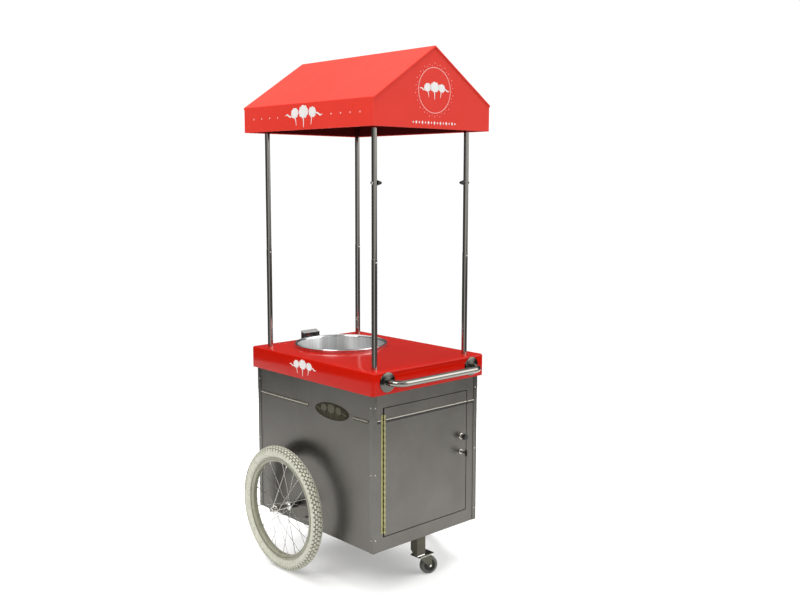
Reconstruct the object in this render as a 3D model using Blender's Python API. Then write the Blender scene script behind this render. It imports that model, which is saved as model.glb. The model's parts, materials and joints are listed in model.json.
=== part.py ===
"""Candy floss cart: a steel cabinet on two spoked wheels and a caster, with a moulded worktop that
holds a spinning-head bowl, four posts and a gabled canopy.

Metres, +Z up. The door and the push handle are at the -Y end. The cart is built about its own centre
plane (y = 0) and hangs from the empty "cart", which sets it back so that the origin is the middle of
the footprint of the whole cart, at floor level.
"""

import math

import bmesh
import bpy
from mathutils import Matrix, Vector

GAP = 0.0003  # air left between touching pieces

# worktop
TOP_HALF_X, TOP_HALF_Y = 0.299, 0.389
TOP_Z, TOP_DEPTH, TOP_WALL = 0.878, 0.088, 0.005
TOP_BASE = TOP_Z - TOP_DEPTH
TOP_CORNER, TOP_EDGE = 0.011, 0.009

# cabinet: corner trims stand outside the sheet panels
CAB_HALF_X, CAB_HALF_Y = 0.283, 0.372
CAB_BASE, CAB_TOP = 0.180, TOP_BASE - GAP
TRIM, TRIM_LEG = 0.0015, 0.021
SHEET = 0.002
SKIN_X, SKIN_Y = CAB_HALF_X - TRIM - GAP, CAB_HALF_Y - TRIM - GAP
TOP_FLANGE, END_FLANGE, BASE_FLANGE = 0.055, 0.022, 0.020
BEAD_Z, BEAD_HEIGHT, BEAD_PROUD = 0.686, 0.011, 0.0045

# door and its opening
DOOR_X, DOOR_Z = (-0.2248, 0.2215), (0.236, 0.733)
OPENING_X, OPENING_Z = (-0.2312, 0.2245), (0.233, 0.736)
DOOR_DEPTH, FRAME_RETURN = 0.018, 0.015
HINGE_X, HINGE_Y = -0.228, -SKIN_Y - 0.0045
HINGE_Z, HINGE_KNUCKLES = (0.250, 0.710), 10
BARREL_R, HINGE_BORE_R, HINGE_PIN_R, LEAF, LEAF_DEPTH = 0.004, 0.0016, 0.0013, 0.0012, 0.018
KNOB_X, KNOB_Z = 0.192, 0.550
LOCK_X, LOCK_Z = 0.188, 0.487

# bowl and spinning head
BOWL_Y, BOWL_R, BOWL_WALL_R = 0.1575, 0.197, 0.186
BOWL_RIM_Z, BOWL_FLOOR_Z, BOWL_SHEET = 0.892, 0.738, 0.002
SHAFT_R = 0.006
HEAD_R, HEAD_BASE_Z, HEAD_TOP_Z, HEAD_SLOTS = 0.065, 0.770, 0.832, 12
MOTOR_R, MOTOR_Z = 0.055, (0.535, 0.656)

# control box behind the bowl
BOX_X, BOX_HALF = -0.004, 0.0425
BOX_Y, BOX_FRONT_Z, BOX_BACK_Z, BOX_SHEET = (0.357, 0.381), 0.909, 0.918, 0.0015
SWITCH_X, DIAL_X, CONTROL_Z = BOX_X - 0.019, BOX_X + 0.019, 0.8995
ROCKER_TIP = math.radians(7)

# posts and canopy
POST_X, POST_Y, POST_R, POST_WALL = 0.242, 0.334, 0.011, 0.0015
POST_Z = (0.803, 1.8545)
BOLT_Z, BOLT_R = 1.568, 0.003
CANOPY_Y, CANOPY_HALF_X, CANOPY_HALF_Y = 0.005, 0.3036, 0.4076
CANOPY_BASE, CANOPY_EAVE, CANOPY_RIDGE, CANOPY_WALL = 1.768, 1.869, 2.071, 0.006
RING_Z = (1.835, 1.860)

# push handle
HANDLE_X, HANDLE_Z, HANDLE_REACH, HANDLE_R, HANDLE_BEND = 0.2265, 0.836, 0.061, 0.0125, 0.045
HANDLE_FLANGE_R, HANDLE_WALL = 0.038, 0.0015

# wheels
WHEEL_X, WHEEL_Y, WHEEL_R, TYRE_R, WHEEL_SIDES = 0.355, 0.109, 0.254, 0.025, 40
RIM_R, RIM_INNER_R, RIM_HALF = 0.2055, 0.189, 0.016
HUB_HALF, HUB_FLANGE_X, HUB_FLANGE_R, HUB_BARREL_R = 0.042, 0.033, 0.019, 0.011
AXLE_R, AXLE_TIP, SPOKES = 0.006, 0.4175, 28

# caster, swung round so that it trails to the side
LEG_Y, LEG_HALF_X, LEG_HALF_Y, LEG_WALL = -0.322, 0.023, 0.019, 0.0025
FOOT_Z, FOOT_PLATE, SWIVEL_X = 0.0845, 0.004, 0.016
CASTER_R, CASTER_HALF, CASTER_TRAIL, CASTER_SIDES = 0.0365, 0.012, 0.034, 24
CASTER_TURN = math.radians(-18)

SETBACK = (TOP_HALF_Y + HANDLE_REACH + HANDLE_R - CANOPY_Y - CANOPY_HALF_Y) / 2

RED, STEEL, DARK_STEEL = (0.72, 0.02, 0.012), (0.36, 0.35, 0.33), (0.12, 0.12, 0.11)
CHROME, BRASS, BLACK = (0.75, 0.75, 0.73), (0.70, 0.55, 0.28), (0.02, 0.02, 0.02)
IVORY, WOOD, COPPER = (0.78, 0.77, 0.66), (0.52, 0.36, 0.2), (0.7, 0.35, 0.2)


# ---------------------------------------------------------------- helpers

def clear_scene():
    for old in list(bpy.data.objects):
        bpy.data.objects.remove(old, do_unlink=True)


def material(name, colour, metallic, roughness):
    made = bpy.data.materials.new(name)
    made.use_nodes = True
    shader = made.node_tree.nodes["Principled BSDF"]
    shader.inputs["Base Color"].default_value = (*colour, 1.0)
    shader.inputs["Metallic"].default_value = metallic
    shader.inputs["Roughness"].default_value = roughness
    return made


def solid(name, bm):
    """A mesh object from a bmesh, facing out, in the piece's own coordinates."""
    bmesh.ops.recalc_face_normals(bm, faces=bm.faces)
    mesh = bpy.data.meshes.new(name)
    bm.to_mesh(mesh)
    bm.free()
    made = bpy.data.objects.new(name, mesh)
    bpy.context.scene.collection.objects.link(made)
    return made


def finish(piece, colour, metallic, roughness, at=(0, 0, 0), turn=0.0, parent="cart", smooth=True):
    """Gives a piece its material, its place and its parent."""
    piece.data.materials.clear()
    piece.data.materials.append(material(piece.name, colour, metallic, roughness))
    if smooth:
        piece.data.shade_smooth()
        piece.data.set_sharp_from_angle(angle=math.radians(35))
    piece.location = at
    piece.rotation_euler = (0, 0, turn)
    piece.parent = bpy.data.objects[parent]
    return piece


def bake(target, tool, operation):
    """Boolean of two objects that share one coordinate system; the tool is used up."""
    cut = target.modifiers.new(operation, "BOOLEAN")
    cut.object, cut.operation, cut.solver = tool, operation, "EXACT"
    bpy.context.view_layer.update()
    evaluated = target.evaluated_get(bpy.context.evaluated_depsgraph_get())
    baked = bpy.data.meshes.new_from_object(evaluated)
    target.modifiers.clear()
    target.data = baked
    bpy.data.objects.remove(tool, do_unlink=True)
    return target


def cut(target, *tools):
    for tool in tools:
        bake(target, tool, "DIFFERENCE")
    return target


def weld(target, *tools):
    for tool in tools:
        bake(target, tool, "UNION")
    return target


def box(name, x, y, z, corner=0.0, edge=0.0):
    """Box between low and high of each axis; corner rounds its upright edges, edge its top edges."""
    bm = bmesh.new()
    bmesh.ops.create_cube(bm, size=1.0)
    for v in bm.verts:
        v.co = Vector([low + (side + 0.5) * (high - low) for side, (low, high) in zip(v.co, (x, y, z))])
    if corner:
        upright = [e for e in bm.edges if abs(e.verts[0].co.z - e.verts[1].co.z) > 1e-6]
        bmesh.ops.bevel(bm, geom=upright, offset=corner, segments=4, affect="EDGES", profile=0.5)
    if edge:
        top = [e for e in bm.edges if all(abs(v.co.z - z[1]) < 1e-6 for v in e.verts)]
        bmesh.ops.bevel(bm, geom=top, offset=edge, segments=3, affect="EDGES", profile=0.5)
    return solid(name, bm)


def span(half, middle=0.0):
    return (middle - half, middle + half)


def prism(name, outline, low, high, axis="Z"):
    """Outline extruded from low to high. Its points are (x, y) for Z, (x, z) for Y and (y, z) for X."""
    place = {"Z": lambda p, d: (p[0], p[1], d), "Y": lambda p, d: (p[0], d, p[1]), "X": lambda p,
             d: (d, p[0], p[1])}
    bm = bmesh.new()
    rings = [[bm.verts.new(place[axis](p, depth)) for p in outline] for depth in (low, high)]
    bm.faces.new(rings[0])
    bm.faces.new(rings[1])
    for i in range(len(outline)):
        j = (i + 1) % len(outline)
        bm.faces.new((rings[0][i], rings[0][j], rings[1][j], rings[1][i]))
    return solid(name, bm)


def turned(name, profile, sides, axis="Z", phase=0.0):
    """Solid of revolution. profile is a closed outline of (radius, height); radius 0 lies on the axis."""
    spin = {"Z": lambda r, h, a: (r * math.cos(a), r * math.sin(a), h),
            "X": lambda r, h, a: (h, r * math.cos(a), r * math.sin(a)),
            "Y": lambda r, h, a: (r * math.sin(a), h, r * math.cos(a))}[axis]
    bm = bmesh.new()
    columns = []
    for radius, height in profile:
        if radius == 0:
            columns.append([bm.verts.new(spin(0, height, 0))] * sides)
        else:
            columns.append([bm.verts.new(spin(radius, height,
                                              phase + 2 * math.pi * k / sides)) for k in range(sides)])
    for i, here in enumerate(columns):
        there = columns[(i + 1) % len(columns)]
        if profile[i][0] == 0 and profile[(i + 1) % len(profile)][0] == 0:
            continue
        for k in range(sides):
            n = (k + 1) % sides
            corners = []
            for v in (here[k], here[n], there[n], there[k]):
                if v not in corners:
                    corners.append(v)
            bm.faces.new(corners)
    return solid(name, bm)


def rod(name, radius, low, high, sides=16, axis="Z", phase=0.0):
    return turned(name, [(0, low), (radius, low), (radius, high), (0, high)], sides, axis, phase)


def shift(piece, by):
    piece.data.transform(Matrix.Translation(by))
    return piece


def arc(centre, radius, start, end, steps):
    """Points on an arc between two angles in degrees, both ends included."""
    angles = [math.radians(start + (end - start) * i / steps) for i in range(steps + 1)]
    return [(centre[0] + radius * math.cos(a), centre[1] + radius * math.sin(a)) for a in angles]


def swept(name, path, radius, sides):
    """Round bar along a path in a level plane."""
    bm = bmesh.new()
    rings = []
    for i, point in enumerate(path):
        before, after = path[max(i - 1, 0)], path[min(i + 1, len(path) - 1)]
        along = (after - before).normalized()
        across = Vector((along.y, -along.x, 0))
        rings.append([bm.verts.new(point + radius * (math.cos(a) * across + math.sin(a) * Vector((0, 0,
                                                                                                  1))))
                      for a in (2 * math.pi * k / sides for k in range(sides))])
    for here, there in zip(rings, rings[1:]):
        for k in range(sides):
            n = (k + 1) % sides
            bm.faces.new((here[k], here[n], there[n], there[k]))
    bm.faces.new(rings[0])
    bm.faces.new(rings[-1])
    return solid(name, bm)


def joined(name, pieces):
    """Several bodies that don't touch, as one tool."""
    bm = bmesh.new()
    for piece in pieces:
        bm.from_mesh(piece.data)
        bpy.data.objects.remove(piece, do_unlink=True)
    return solid(name, bm)


# ---------------------------------------------------------------- cabinet

def side_panel(side):
    outer, inner = side * SKIN_X, side * (SKIN_X - SHEET)
    top_in, base_in = side * (SKIN_X - TOP_FLANGE), side * (SKIN_X - BASE_FLANGE)
    outline = [(outer, CAB_BASE), (outer, CAB_TOP), (top_in, CAB_TOP), (top_in, CAB_TOP - SHEET),
               (inner, CAB_TOP - SHEET), (inner, CAB_BASE + SHEET), (base_in, CAB_BASE + SHEET),
               (base_in, CAB_BASE)]
    name = "side_panel_left" if side < 0 else "side_panel_right"
    panel = prism(name, outline, -SKIN_Y, SKIN_Y, "Y")
    hole = shift(rod("axle_hole", AXLE_R + GAP, *span(0.01, outer), axis="X"), (0, WHEEL_Y, WHEEL_R))
    inside = sorted((side * 0.1, inner))
    ends = [box("end", inside, sorted((end * (SKIN_Y - SHEET - GAP), end * 0.4)),
                (0.1, 0.8)) for end in (-1, 1)]
    return finish(cut(panel, hole, joined("ends", ends)), STEEL, 1.0, 0.35, smooth=False)


def end_panel():
    half = SKIN_X - SHEET - GAP
    back, front = SKIN_Y, SKIN_Y - SHEET
    outline = [(back, CAB_BASE), (back, CAB_TOP), (back - END_FLANGE, CAB_TOP),
               (back - END_FLANGE, CAB_TOP - SHEET), (front, CAB_TOP - SHEET), (front, CAB_BASE + SHEET),
               (back - BASE_FLANGE, CAB_BASE + SHEET), (back - BASE_FLANGE, CAB_BASE)]
    inside = SKIN_X - BASE_FLANGE - GAP
    panel = prism("end_panel", outline, -half, half, "X")
    notches = [box("notch", (side * inside, side * 0.3) if side > 0 else (-0.3, -inside),
                   (back - 0.06, front), (0.1, CAB_BASE + SHEET + GAP)) for side in (-1, 1)]
    ears = [box("ear",
                (SKIN_X - TOP_FLANGE - GAP, 0.3) if side > 0 else (-0.3, -(SKIN_X - TOP_FLANGE - GAP)),
                (back - 0.06, front), (CAB_TOP - SHEET - GAP, 0.8)) for side in (-1, 1)]
    return finish(cut(panel, joined("notches", notches), joined("ears", ears)), STEEL, 1.0, 0.35,
                  smooth=False)


def door_frame():
    half = SKIN_X - SHEET - GAP
    face = box("door_frame", span(half), (-SKIN_Y, -SKIN_Y + SHEET), (CAB_BASE, CAB_TOP))
    ring = box("ring", (OPENING_X[0] - SHEET, OPENING_X[1] + SHEET), (-SKIN_Y, -SKIN_Y + FRAME_RETURN),
               (OPENING_Z[0] - SHEET, OPENING_Z[1] + SHEET))
    opening = box("opening", OPENING_X, (-SKIN_Y - 0.01, -SKIN_Y + 0.03), OPENING_Z)
    return finish(cut(weld(face, ring), opening), STEEL, 1.0, 0.35, smooth=False)


def floor_pan():
    z = CAB_BASE + SHEET + GAP
    half_x, half_y = SKIN_X - SHEET - GAP, SKIN_Y - SHEET - GAP
    pan = box("floor_pan", span(half_x), span(half_y), (z, z + SHEET))
    return finish(pan, STEEL, 1.0, 0.4, smooth=False)


def corner_trim(side, end):
    x, y = CAB_HALF_X, CAB_HALF_Y
    outline = [(side * px, end * py) for px, py in
               ((x, y), (x - TRIM_LEG, y), (x - TRIM_LEG, y - TRIM), (x - TRIM, y - TRIM),
                (x - TRIM, y - TRIM_LEG), (x, y - TRIM_LEG))]
    name = f"corner_trim_{'front' if end < 0 else 'rear'}_{'left' if side < 0 else 'right'}"
    return finish(prism(name, outline, CAB_BASE, CAB_TOP), STEEL, 1.0, 0.25, smooth=False)


def bead(name, side, y):
    """Half-round strip on a side panel."""
    base = SKIN_X + GAP
    half = BEAD_HEIGHT / 2
    outline = [(side * (base + BEAD_PROUD * math.sin(a)), BEAD_Z - half * math.cos(a))
               for a in (math.pi * i / 6 for i in range(7))]
    return finish(prism(name, outline, *y, "Y"), CHROME, 1.0, 0.2)


def emblem(side):
    """Plain oval badge between the two strips."""
    outline = [(-0.1275 + 0.100 * math.cos(a), BEAD_Z + 0.032 * math.sin(a))
               for a in (2 * math.pi * i / 24 for i in range(24))]
    low, high = sorted((side * (SKIN_X + GAP), side * (SKIN_X + 0.0045)))
    name = "side_emblem_left" if side < 0 else "side_emblem_right"
    return finish(prism(name, outline, low, high, "X"), DARK_STEEL, 1.0, 0.25)


# ---------------------------------------------------------------- door

def door_panel():
    at = (HINGE_X, HINGE_Y, 0)
    x = (DOOR_X[0] - at[0], DOOR_X[1] - at[0])
    y = (-SKIN_Y - at[1], -SKIN_Y + DOOR_DEPTH - at[1])
    panel = box("door_panel", x, y, DOOR_Z)
    hollow = box("hollow", (x[0] + SHEET, x[1] - SHEET), (y[0] + SHEET, y[1] + 0.01),
                 (DOOR_Z[0] + SHEET, DOOR_Z[1] - SHEET))
    holes = [shift(rod("hole", radius, -0.01, 0.02, 12, "Y"), (px - at[0], 0, pz))
             for radius, px, pz in ((0.0045, KNOB_X, KNOB_Z), (0.0085 + GAP, LOCK_X, LOCK_Z))]
    return finish(cut(panel, hollow, joined("holes", holes)), STEEL, 1.0, 0.3, at=at, smooth=False)


def door_strip():
    at = (HINGE_X, HINGE_Y, 0)
    base = -SKIN_Y - GAP - at[1]
    half = BEAD_HEIGHT / 2
    outline = [(base - 0.0035 * math.sin(a),
                BEAD_Z - half * math.cos(a)) for a in (math.pi * i / 6 for i in range(7))]
    return finish(prism("door_strip", outline, DOOR_X[0] + 0.004 - at[0], DOOR_X[1] - 0.001 - at[0], "X"),
                  CHROME, 1.0, 0.25, at=at)


def hinge_leaf(name, side, first):
    """One leaf of the piano hinge with every second knuckle, about the pin's axis."""
    height = (HINGE_Z[1] - HINGE_Z[0]) / HINGE_KNUCKLES
    inner, outer = sorted((side * 0.0017, side * (0.0017 + LEAF)))
    leaf = box(name, (inner, outer), (0, LEAF_DEPTH), HINGE_Z)
    weld(leaf, rod("barrel", BARREL_R, *HINGE_Z, sides=12))
    gaps = [box("gap", span(0.01), (-0.01, -SKIN_Y - HINGE_Y - GAP / 2),
                (HINGE_Z[0] + i * height - (GAP / 2 if i else 0.01),
                 HINGE_Z[0] + (i + 1) * height + (GAP / 2 if i < HINGE_KNUCKLES - 1 else 0.01)))
            for i in range(1 - first, HINGE_KNUCKLES, 2)]
    bore = rod("bore", HINGE_BORE_R, HINGE_Z[0] - 0.01, HINGE_Z[1] + 0.01, sides=8)
    return finish(cut(leaf, joined("gaps", gaps), bore), BRASS, 1.0, 0.35, at=(HINGE_X, HINGE_Y, 0))


def hinge_pin():
    return finish(rod("hinge_pin", HINGE_PIN_R, HINGE_Z[0] - 0.001, HINGE_Z[1] + 0.001, sides=8), BRASS,
                  1.0, 0.3,
                  at=(HINGE_X, HINGE_Y, 0))


def door_knob():
    """Knob, spindle and the latch cam behind the door, which hangs upright when unlatched."""
    at = (KNOB_X, -SKIN_Y, KNOB_Z)
    profile = [(0, -0.031), (0.009, -0.031), (0.0125, -0.028), (0.0125, -0.017), (0.0085, -0.013),
               (0.0085, -0.0009),
               (0.0039, -0.0009), (0.0039, 0.0235), (0, 0.0235)]
    knob = turned("door_knob", profile, 16, "Y")
    cam = box("cam", span(0.008), (0.0195, 0.022), (-0.008, 0.044))
    return finish(weld(knob, cam), BLACK, 0.0, 0.4, at=at)


def lock_body():
    """Threaded sleeve of the cam lock."""
    profile = [(0.0055, -0.0060), (0.0090, -0.0060), (0.0110, -0.0040), (0.0110, -GAP), (0.0085, -GAP),
               (0.0085, 0.0180), (0.0055, 0.0180)]
    return finish(turned("lock_body", profile, 16, "Y"), CHROME, 1.0, 0.15, at=(LOCK_X, -SKIN_Y, LOCK_Z))


def lock_plug():
    """Turning plug with its key grip, and the cam behind the door, which hangs upright when unlocked."""
    plug = rod("lock_plug", 0.0055 - GAP, -0.0075, 0.0215, 12, "Y")
    stem = rod("stem", 0.0035, -0.030, -0.005, 10, "Y")
    grip = box("grip", span(0.0030), (-0.041, -0.0285), span(0.0125))
    cam = box("cam", span(0.006), (0.0195, 0.022), (-0.008, 0.045))
    return finish(weld(plug, stem, grip, cam), CHROME, 1.0, 0.2, at=(LOCK_X, -SKIN_Y, LOCK_Z))


# ---------------------------------------------------------------- worktop, bowl, spinning head

def worktop():
    shell = box("worktop", span(TOP_HALF_X), span(TOP_HALF_Y), (TOP_BASE, TOP_Z), TOP_CORNER, TOP_EDGE)
    hollow = box("hollow", span(TOP_HALF_X - TOP_WALL), span(TOP_HALF_Y - TOP_WALL),
                 (TOP_BASE - 0.01, TOP_Z - TOP_WALL), 0.010)
    mouth = shift(rod("mouth", BOWL_WALL_R + 0.0025, 0.8, 0.9, 40), (0, BOWL_Y, 0))
    posts = [shift(rod("hole", POST_R + GAP, 0.8, 0.9), (sx * POST_X, sy * POST_Y, 0)) for sx in (-1,
            1) for sy in (-1, 1)]
    return finish(cut(shell, hollow, mouth, joined("holes", posts)), RED, 0.0, 0.2)


def worktop_frame():
    """Plywood ring inside the worktop, bored for the posts."""
    z = (TOP_BASE + GAP, TOP_Z - TOP_WALL - GAP)
    ring = box("worktop_frame", span(TOP_HALF_X - TOP_WALL - GAP), span(TOP_HALF_Y - TOP_WALL - GAP), z,
               0.0105)
    inside = box("inside", span(0.218), (-0.305, 0.3475), (0.7, 0.9))
    posts = [shift(rod("hole", POST_R + GAP, POST_Z[0] - GAP, 0.9), (sx * POST_X, sy * POST_Y, 0))
             for sx in (-1, 1) for sy in (-1, 1)]
    return finish(cut(ring, inside, joined("holes", posts)), WOOD, 0.0, 0.6, smooth=False)


def bowl():
    floor, rim, wall = BOWL_FLOOR_Z, BOWL_RIM_Z, BOWL_WALL_R
    inner = arc((wall - BOWL_SHEET - 0.020, floor + 0.020), 0.020, -90, 0, 3)
    outer = arc((wall - 0.022, floor - BOWL_SHEET + 0.022), 0.022, 0, -90, 3)
    profile = [(0.0145, floor - BOWL_SHEET), (0.0145, floor + 0.018), (0.0165, floor + 0.018),
               (0.0165, floor), *inner,
               (wall - BOWL_SHEET, rim - 0.006), (wall + 0.002, rim), (BOWL_R - 0.003, rim),
               (BOWL_R, rim - 0.004),
               (BOWL_R, TOP_Z + 0.002), (BOWL_R - 0.0015, TOP_Z + GAP), (wall, TOP_Z + GAP), *outer]
    return finish(turned("bowl", profile, 40), CHROME, 1.0, 0.25, at=(0, BOWL_Y, 0))


def spinner_shaft():
    """Shaft with the floor disc of the head."""
    z = HEAD_BASE_Z
    profile = [(0, 0.625), (SHAFT_R, 0.625), (SHAFT_R, z), (HEAD_R, z), (HEAD_R, z + 0.003), (0, z + 0.003)]
    return finish(turned("spinner_shaft", profile, 24), CHROME, 1.0, 0.3, at=(0, BOWL_Y, 0))


def spinner_head():
    """Slotted band and cap with the sugar mouth in the middle."""
    low, top = HEAD_BASE_Z + 0.003 + GAP, HEAD_TOP_Z
    profile = [(HEAD_R - 0.002, low), (HEAD_R, low), (HEAD_R, top - 0.010), (0.022, top),
               (0.022, top - 0.002),
               (HEAD_R - 0.002, top - 0.012)]
    head = turned("spinner_head", profile, 24)
    slots = []
    for i in range(HEAD_SLOTS):
        slot = box("slot", (HEAD_R - 0.008, HEAD_R + 0.005), span(0.001), (low + 0.010, top - 0.020))
        slot.data.transform(Matrix.Rotation(math.radians(7.5) + 2 * math.pi * i / HEAD_SLOTS, 4, "Z"))
        slots.append(slot)
    return finish(cut(head, joined("slots", slots)), CHROME, 1.0, 0.3, at=(0, BOWL_Y, 0))


def heater_ring():
    z = (HEAD_BASE_Z + 0.003 + GAP, HEAD_TOP_Z - 0.018)
    profile = [(0.0515, z[0]), (0.0540, z[0]), (0.0540, z[1]), (0.0515, z[1])]
    return finish(turned("heater_ring", profile, 24), COPPER, 1.0, 0.4, at=(0, BOWL_Y, 0))


def motor():
    low, high = MOTOR_Z
    bore = SHAFT_R + GAP
    profile = [(0, low), (MOTOR_R - 0.006, low), (MOTOR_R, low + 0.006), (MOTOR_R, high - 0.005),
               (MOTOR_R - 0.005, high),
               (bore, high), (bore, 0.620), (0, 0.620)]
    return finish(turned("motor", profile, 24), DARK_STEEL, 0.6, 0.5, at=(0, BOWL_Y, 0))


def motor_bridge():
    """Folded strap that hangs the motor from the worktop frame."""
    z, top, foot, reach = MOTOR_Z[1] + GAP, TOP_BASE, 0.003, 0.200
    right = [(reach, z), (reach, top - foot), (0.2225, top - foot), (0.2225, top), (reach - foot, top),
             (reach - foot, z + foot)]
    outline = right + [(-x, y) for x, y in reversed(right)]
    strap = prism("motor_bridge", outline, *span(0.040, BOWL_Y), "Y")
    hole = shift(rod("hole", 0.020, z - 0.01, z + 0.02), (0, BOWL_Y, 0))
    return finish(cut(strap, hole), STEEL, 1.0, 0.45, smooth=False)


# ---------------------------------------------------------------- control box

def control_hood():
    (front, back), top, low = BOX_Y, (BOX_FRONT_Z, BOX_BACK_Z), TOP_Z + GAP
    outline = [(front, low), (back, low), (back, top[1]), (front, top[0])]
    hood = prism("control_hood", outline, *span(BOX_HALF, BOX_X), "X")
    inner = [(front - 0.01, low - 0.01), (back - BOX_SHEET, low - 0.01),
             (back - BOX_SHEET, top[1] - 2 * BOX_SHEET),
             (front - 0.01, top[0] - 2 * BOX_SHEET - 0.002)]
    return finish(cut(hood, prism("inner", inner, *span(BOX_HALF - BOX_SHEET, BOX_X), "X")), CHROME, 1.0,
                  0.3, smooth=False)


def control_panel():
    plate = box("control_panel", span(BOX_HALF - BOX_SHEET - GAP, BOX_X),
                (BOX_Y[0] + 0.0005, BOX_Y[0] + 0.0025),
                (TOP_Z + 0.001, BOX_FRONT_Z - 0.0045))
    switch = box("window", span(0.0068, SWITCH_X), (0.3, 0.4), span(0.0048, CONTROL_Z))
    spindle = shift(rod("hole", 0.0024, 0.3, 0.4, 10, "Y"), (DIAL_X, 0, CONTROL_Z))
    return finish(cut(plate, switch, spindle), BLACK, 0.0, 0.4, smooth=False)


def rocker_switch():
    """Rests tipped to its off side."""
    level = [(-0.0032, 0.0042), (-0.0018, 0.0), (-0.0032, -0.0042), (0.004, -0.0026), (0.004, 0.0026)]
    c, s = math.cos(ROCKER_TIP), math.sin(ROCKER_TIP)
    outline = [(c * y - s * z, s * y + c * z) for y, z in level]
    return finish(prism("rocker_switch", outline, *span(0.0063), "X"), RED, 0.0, 0.4,
                  at=(SWITCH_X, BOX_Y[0] + 0.0015, CONTROL_Z), smooth=False)


def heat_dial():
    profile = [(0, -0.0085), (0.0045, -0.0085), (0.0055, -0.0075), (0.0058, -0.0008), (0.002, -0.0008),
               (0.002, 0.008), (0, 0.008)]
    return finish(turned("heat_dial", profile, 16, "Y"), BLACK, 0.0, 0.4,
                  at=(DIAL_X, BOX_Y[0] + 0.0005, CONTROL_Z))


# ---------------------------------------------------------------- posts, canopy, handle

def post(side, end):
    name = f"post_{'front' if end < 0 else 'rear'}_{'left' if side < 0 else 'right'}"
    low, high = POST_Z
    tube = turned(name,
                  [(POST_R - POST_WALL, low), (POST_R, low), (POST_R, high), (POST_R - POST_WALL, high)],
                  16)
    if end < 0:
        cut(tube, shift(rod("hole", BOLT_R + GAP, -0.02, 0.02, 8, "X"), (0, 0, BOLT_Z)))
    return finish(tube, CHROME, 1.0, 0.12, at=(side * POST_X, end * POST_Y, 0))


def cross_bolt(side):
    """Bolt through a front post, with its head outside and its thread inside."""
    profile = [(0, POST_R + 0.0065), (0.0045, POST_R + 0.005), (0.006, POST_R + GAP),
               (BOLT_R, POST_R + GAP), (BOLT_R, -0.029), (0, -0.029)]
    bolt = turned("cross_bolt_left" if side < 0 else "cross_bolt_right",
                  [(r, side * h) for r, h in profile], 12, "X")
    return finish(bolt, CHROME, 1.0, 0.2, at=(side * POST_X, -POST_Y, BOLT_Z))


def bolt_knob(side):
    start, end = POST_R + 0.001, POST_R + 0.022
    bore = BOLT_R + GAP
    profile = [(bore, start), (0.0095, start), (0.0100, start + 0.004), (0.0060, end - 0.003),
               (0.0050, end), (0, end),
               (0, end - 0.004), (bore, end - 0.004)]
    knob = turned("bolt_knob_left" if side < 0 else "bolt_knob_right", [(r, -side * h) for r, h in profile],
                  12, "X")
    return finish(knob, BLACK, 0.0, 0.4, at=(side * POST_X, -POST_Y, BOLT_Z))


def gable(half, base, eave, ridge):
    return [(-half, base), (half, base), (half, eave), (0, ridge), (-half, eave)]


def canopy():
    pitch = math.atan2(CANOPY_RIDGE - CANOPY_EAVE, CANOPY_HALF_X)
    drop, half = CANOPY_WALL / math.cos(pitch), CANOPY_HALF_X - CANOPY_WALL
    roof = prism("canopy", gable(CANOPY_HALF_X, CANOPY_BASE, CANOPY_EAVE, CANOPY_RIDGE),
                 *span(CANOPY_HALF_Y), "Y")
    inner_eave = CANOPY_EAVE + CANOPY_WALL * math.tan(pitch) - drop
    inside = prism("inside", gable(half, CANOPY_BASE - 0.01, inner_eave, CANOPY_RIDGE - drop),
                   *span(CANOPY_HALF_Y - CANOPY_WALL), "Y")
    return finish(cut(roof, inside), RED, 0.0, 0.35, at=(0, CANOPY_Y, 0), smooth=False)


def canopy_frame():
    """Ring that the canopy sits on, bored for the tops of the posts."""
    half_x, half_y = CANOPY_HALF_X - CANOPY_WALL - GAP, CANOPY_HALF_Y - CANOPY_WALL - GAP
    ring = box("canopy_frame", span(half_x), span(half_y, CANOPY_Y), RING_Z)
    inside = box("inside", span(0.215), span(0.305), (1.8, 1.9))
    posts = [shift(rod("hole", POST_R + GAP, 1.8, POST_Z[1] + GAP),
                   (sx * POST_X, sy * POST_Y, 0)) for sx in (-1, 1) for sy in (-1, 1)]
    return finish(cut(ring, inside, joined("holes", posts)), WOOD, 0.0, 0.6, smooth=False)


def handle_path(root):
    """Half of the bar's centre line, mirrored: out of the worktop's end, round a bend and across."""
    bar = -HANDLE_REACH
    bend = arc((-HANDLE_X + HANDLE_BEND, bar + HANDLE_BEND), HANDLE_BEND, 180, 270, 5)
    left = [Vector((-HANDLE_X, root, 0))] + [Vector((x, y, 0)) for x, y in bend]
    return left + [Vector((-p.x, p.y, 0)) for p in reversed(left)]


def push_handle():
    handle = swept("push_handle", handle_path(-0.002), HANDLE_R, 16)
    flanges = [shift(turned("flange",
                            [(0, -0.0065), (0.027, -0.0065), (HANDLE_FLANGE_R, -0.0035),
                             (HANDLE_FLANGE_R, -GAP), (0, -GAP)],
                            24, "Y"), (x, 0, 0)) for x in (-HANDLE_X, HANDLE_X)]
    weld(handle, *flanges)
    cut(handle, swept("bore", handle_path(0.01), HANDLE_R - HANDLE_WALL, 12))
    return finish(handle, CHROME, 1.0, 0.1, at=(0, -TOP_HALF_Y, HANDLE_Z))


# ---------------------------------------------------------------- wheels

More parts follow.
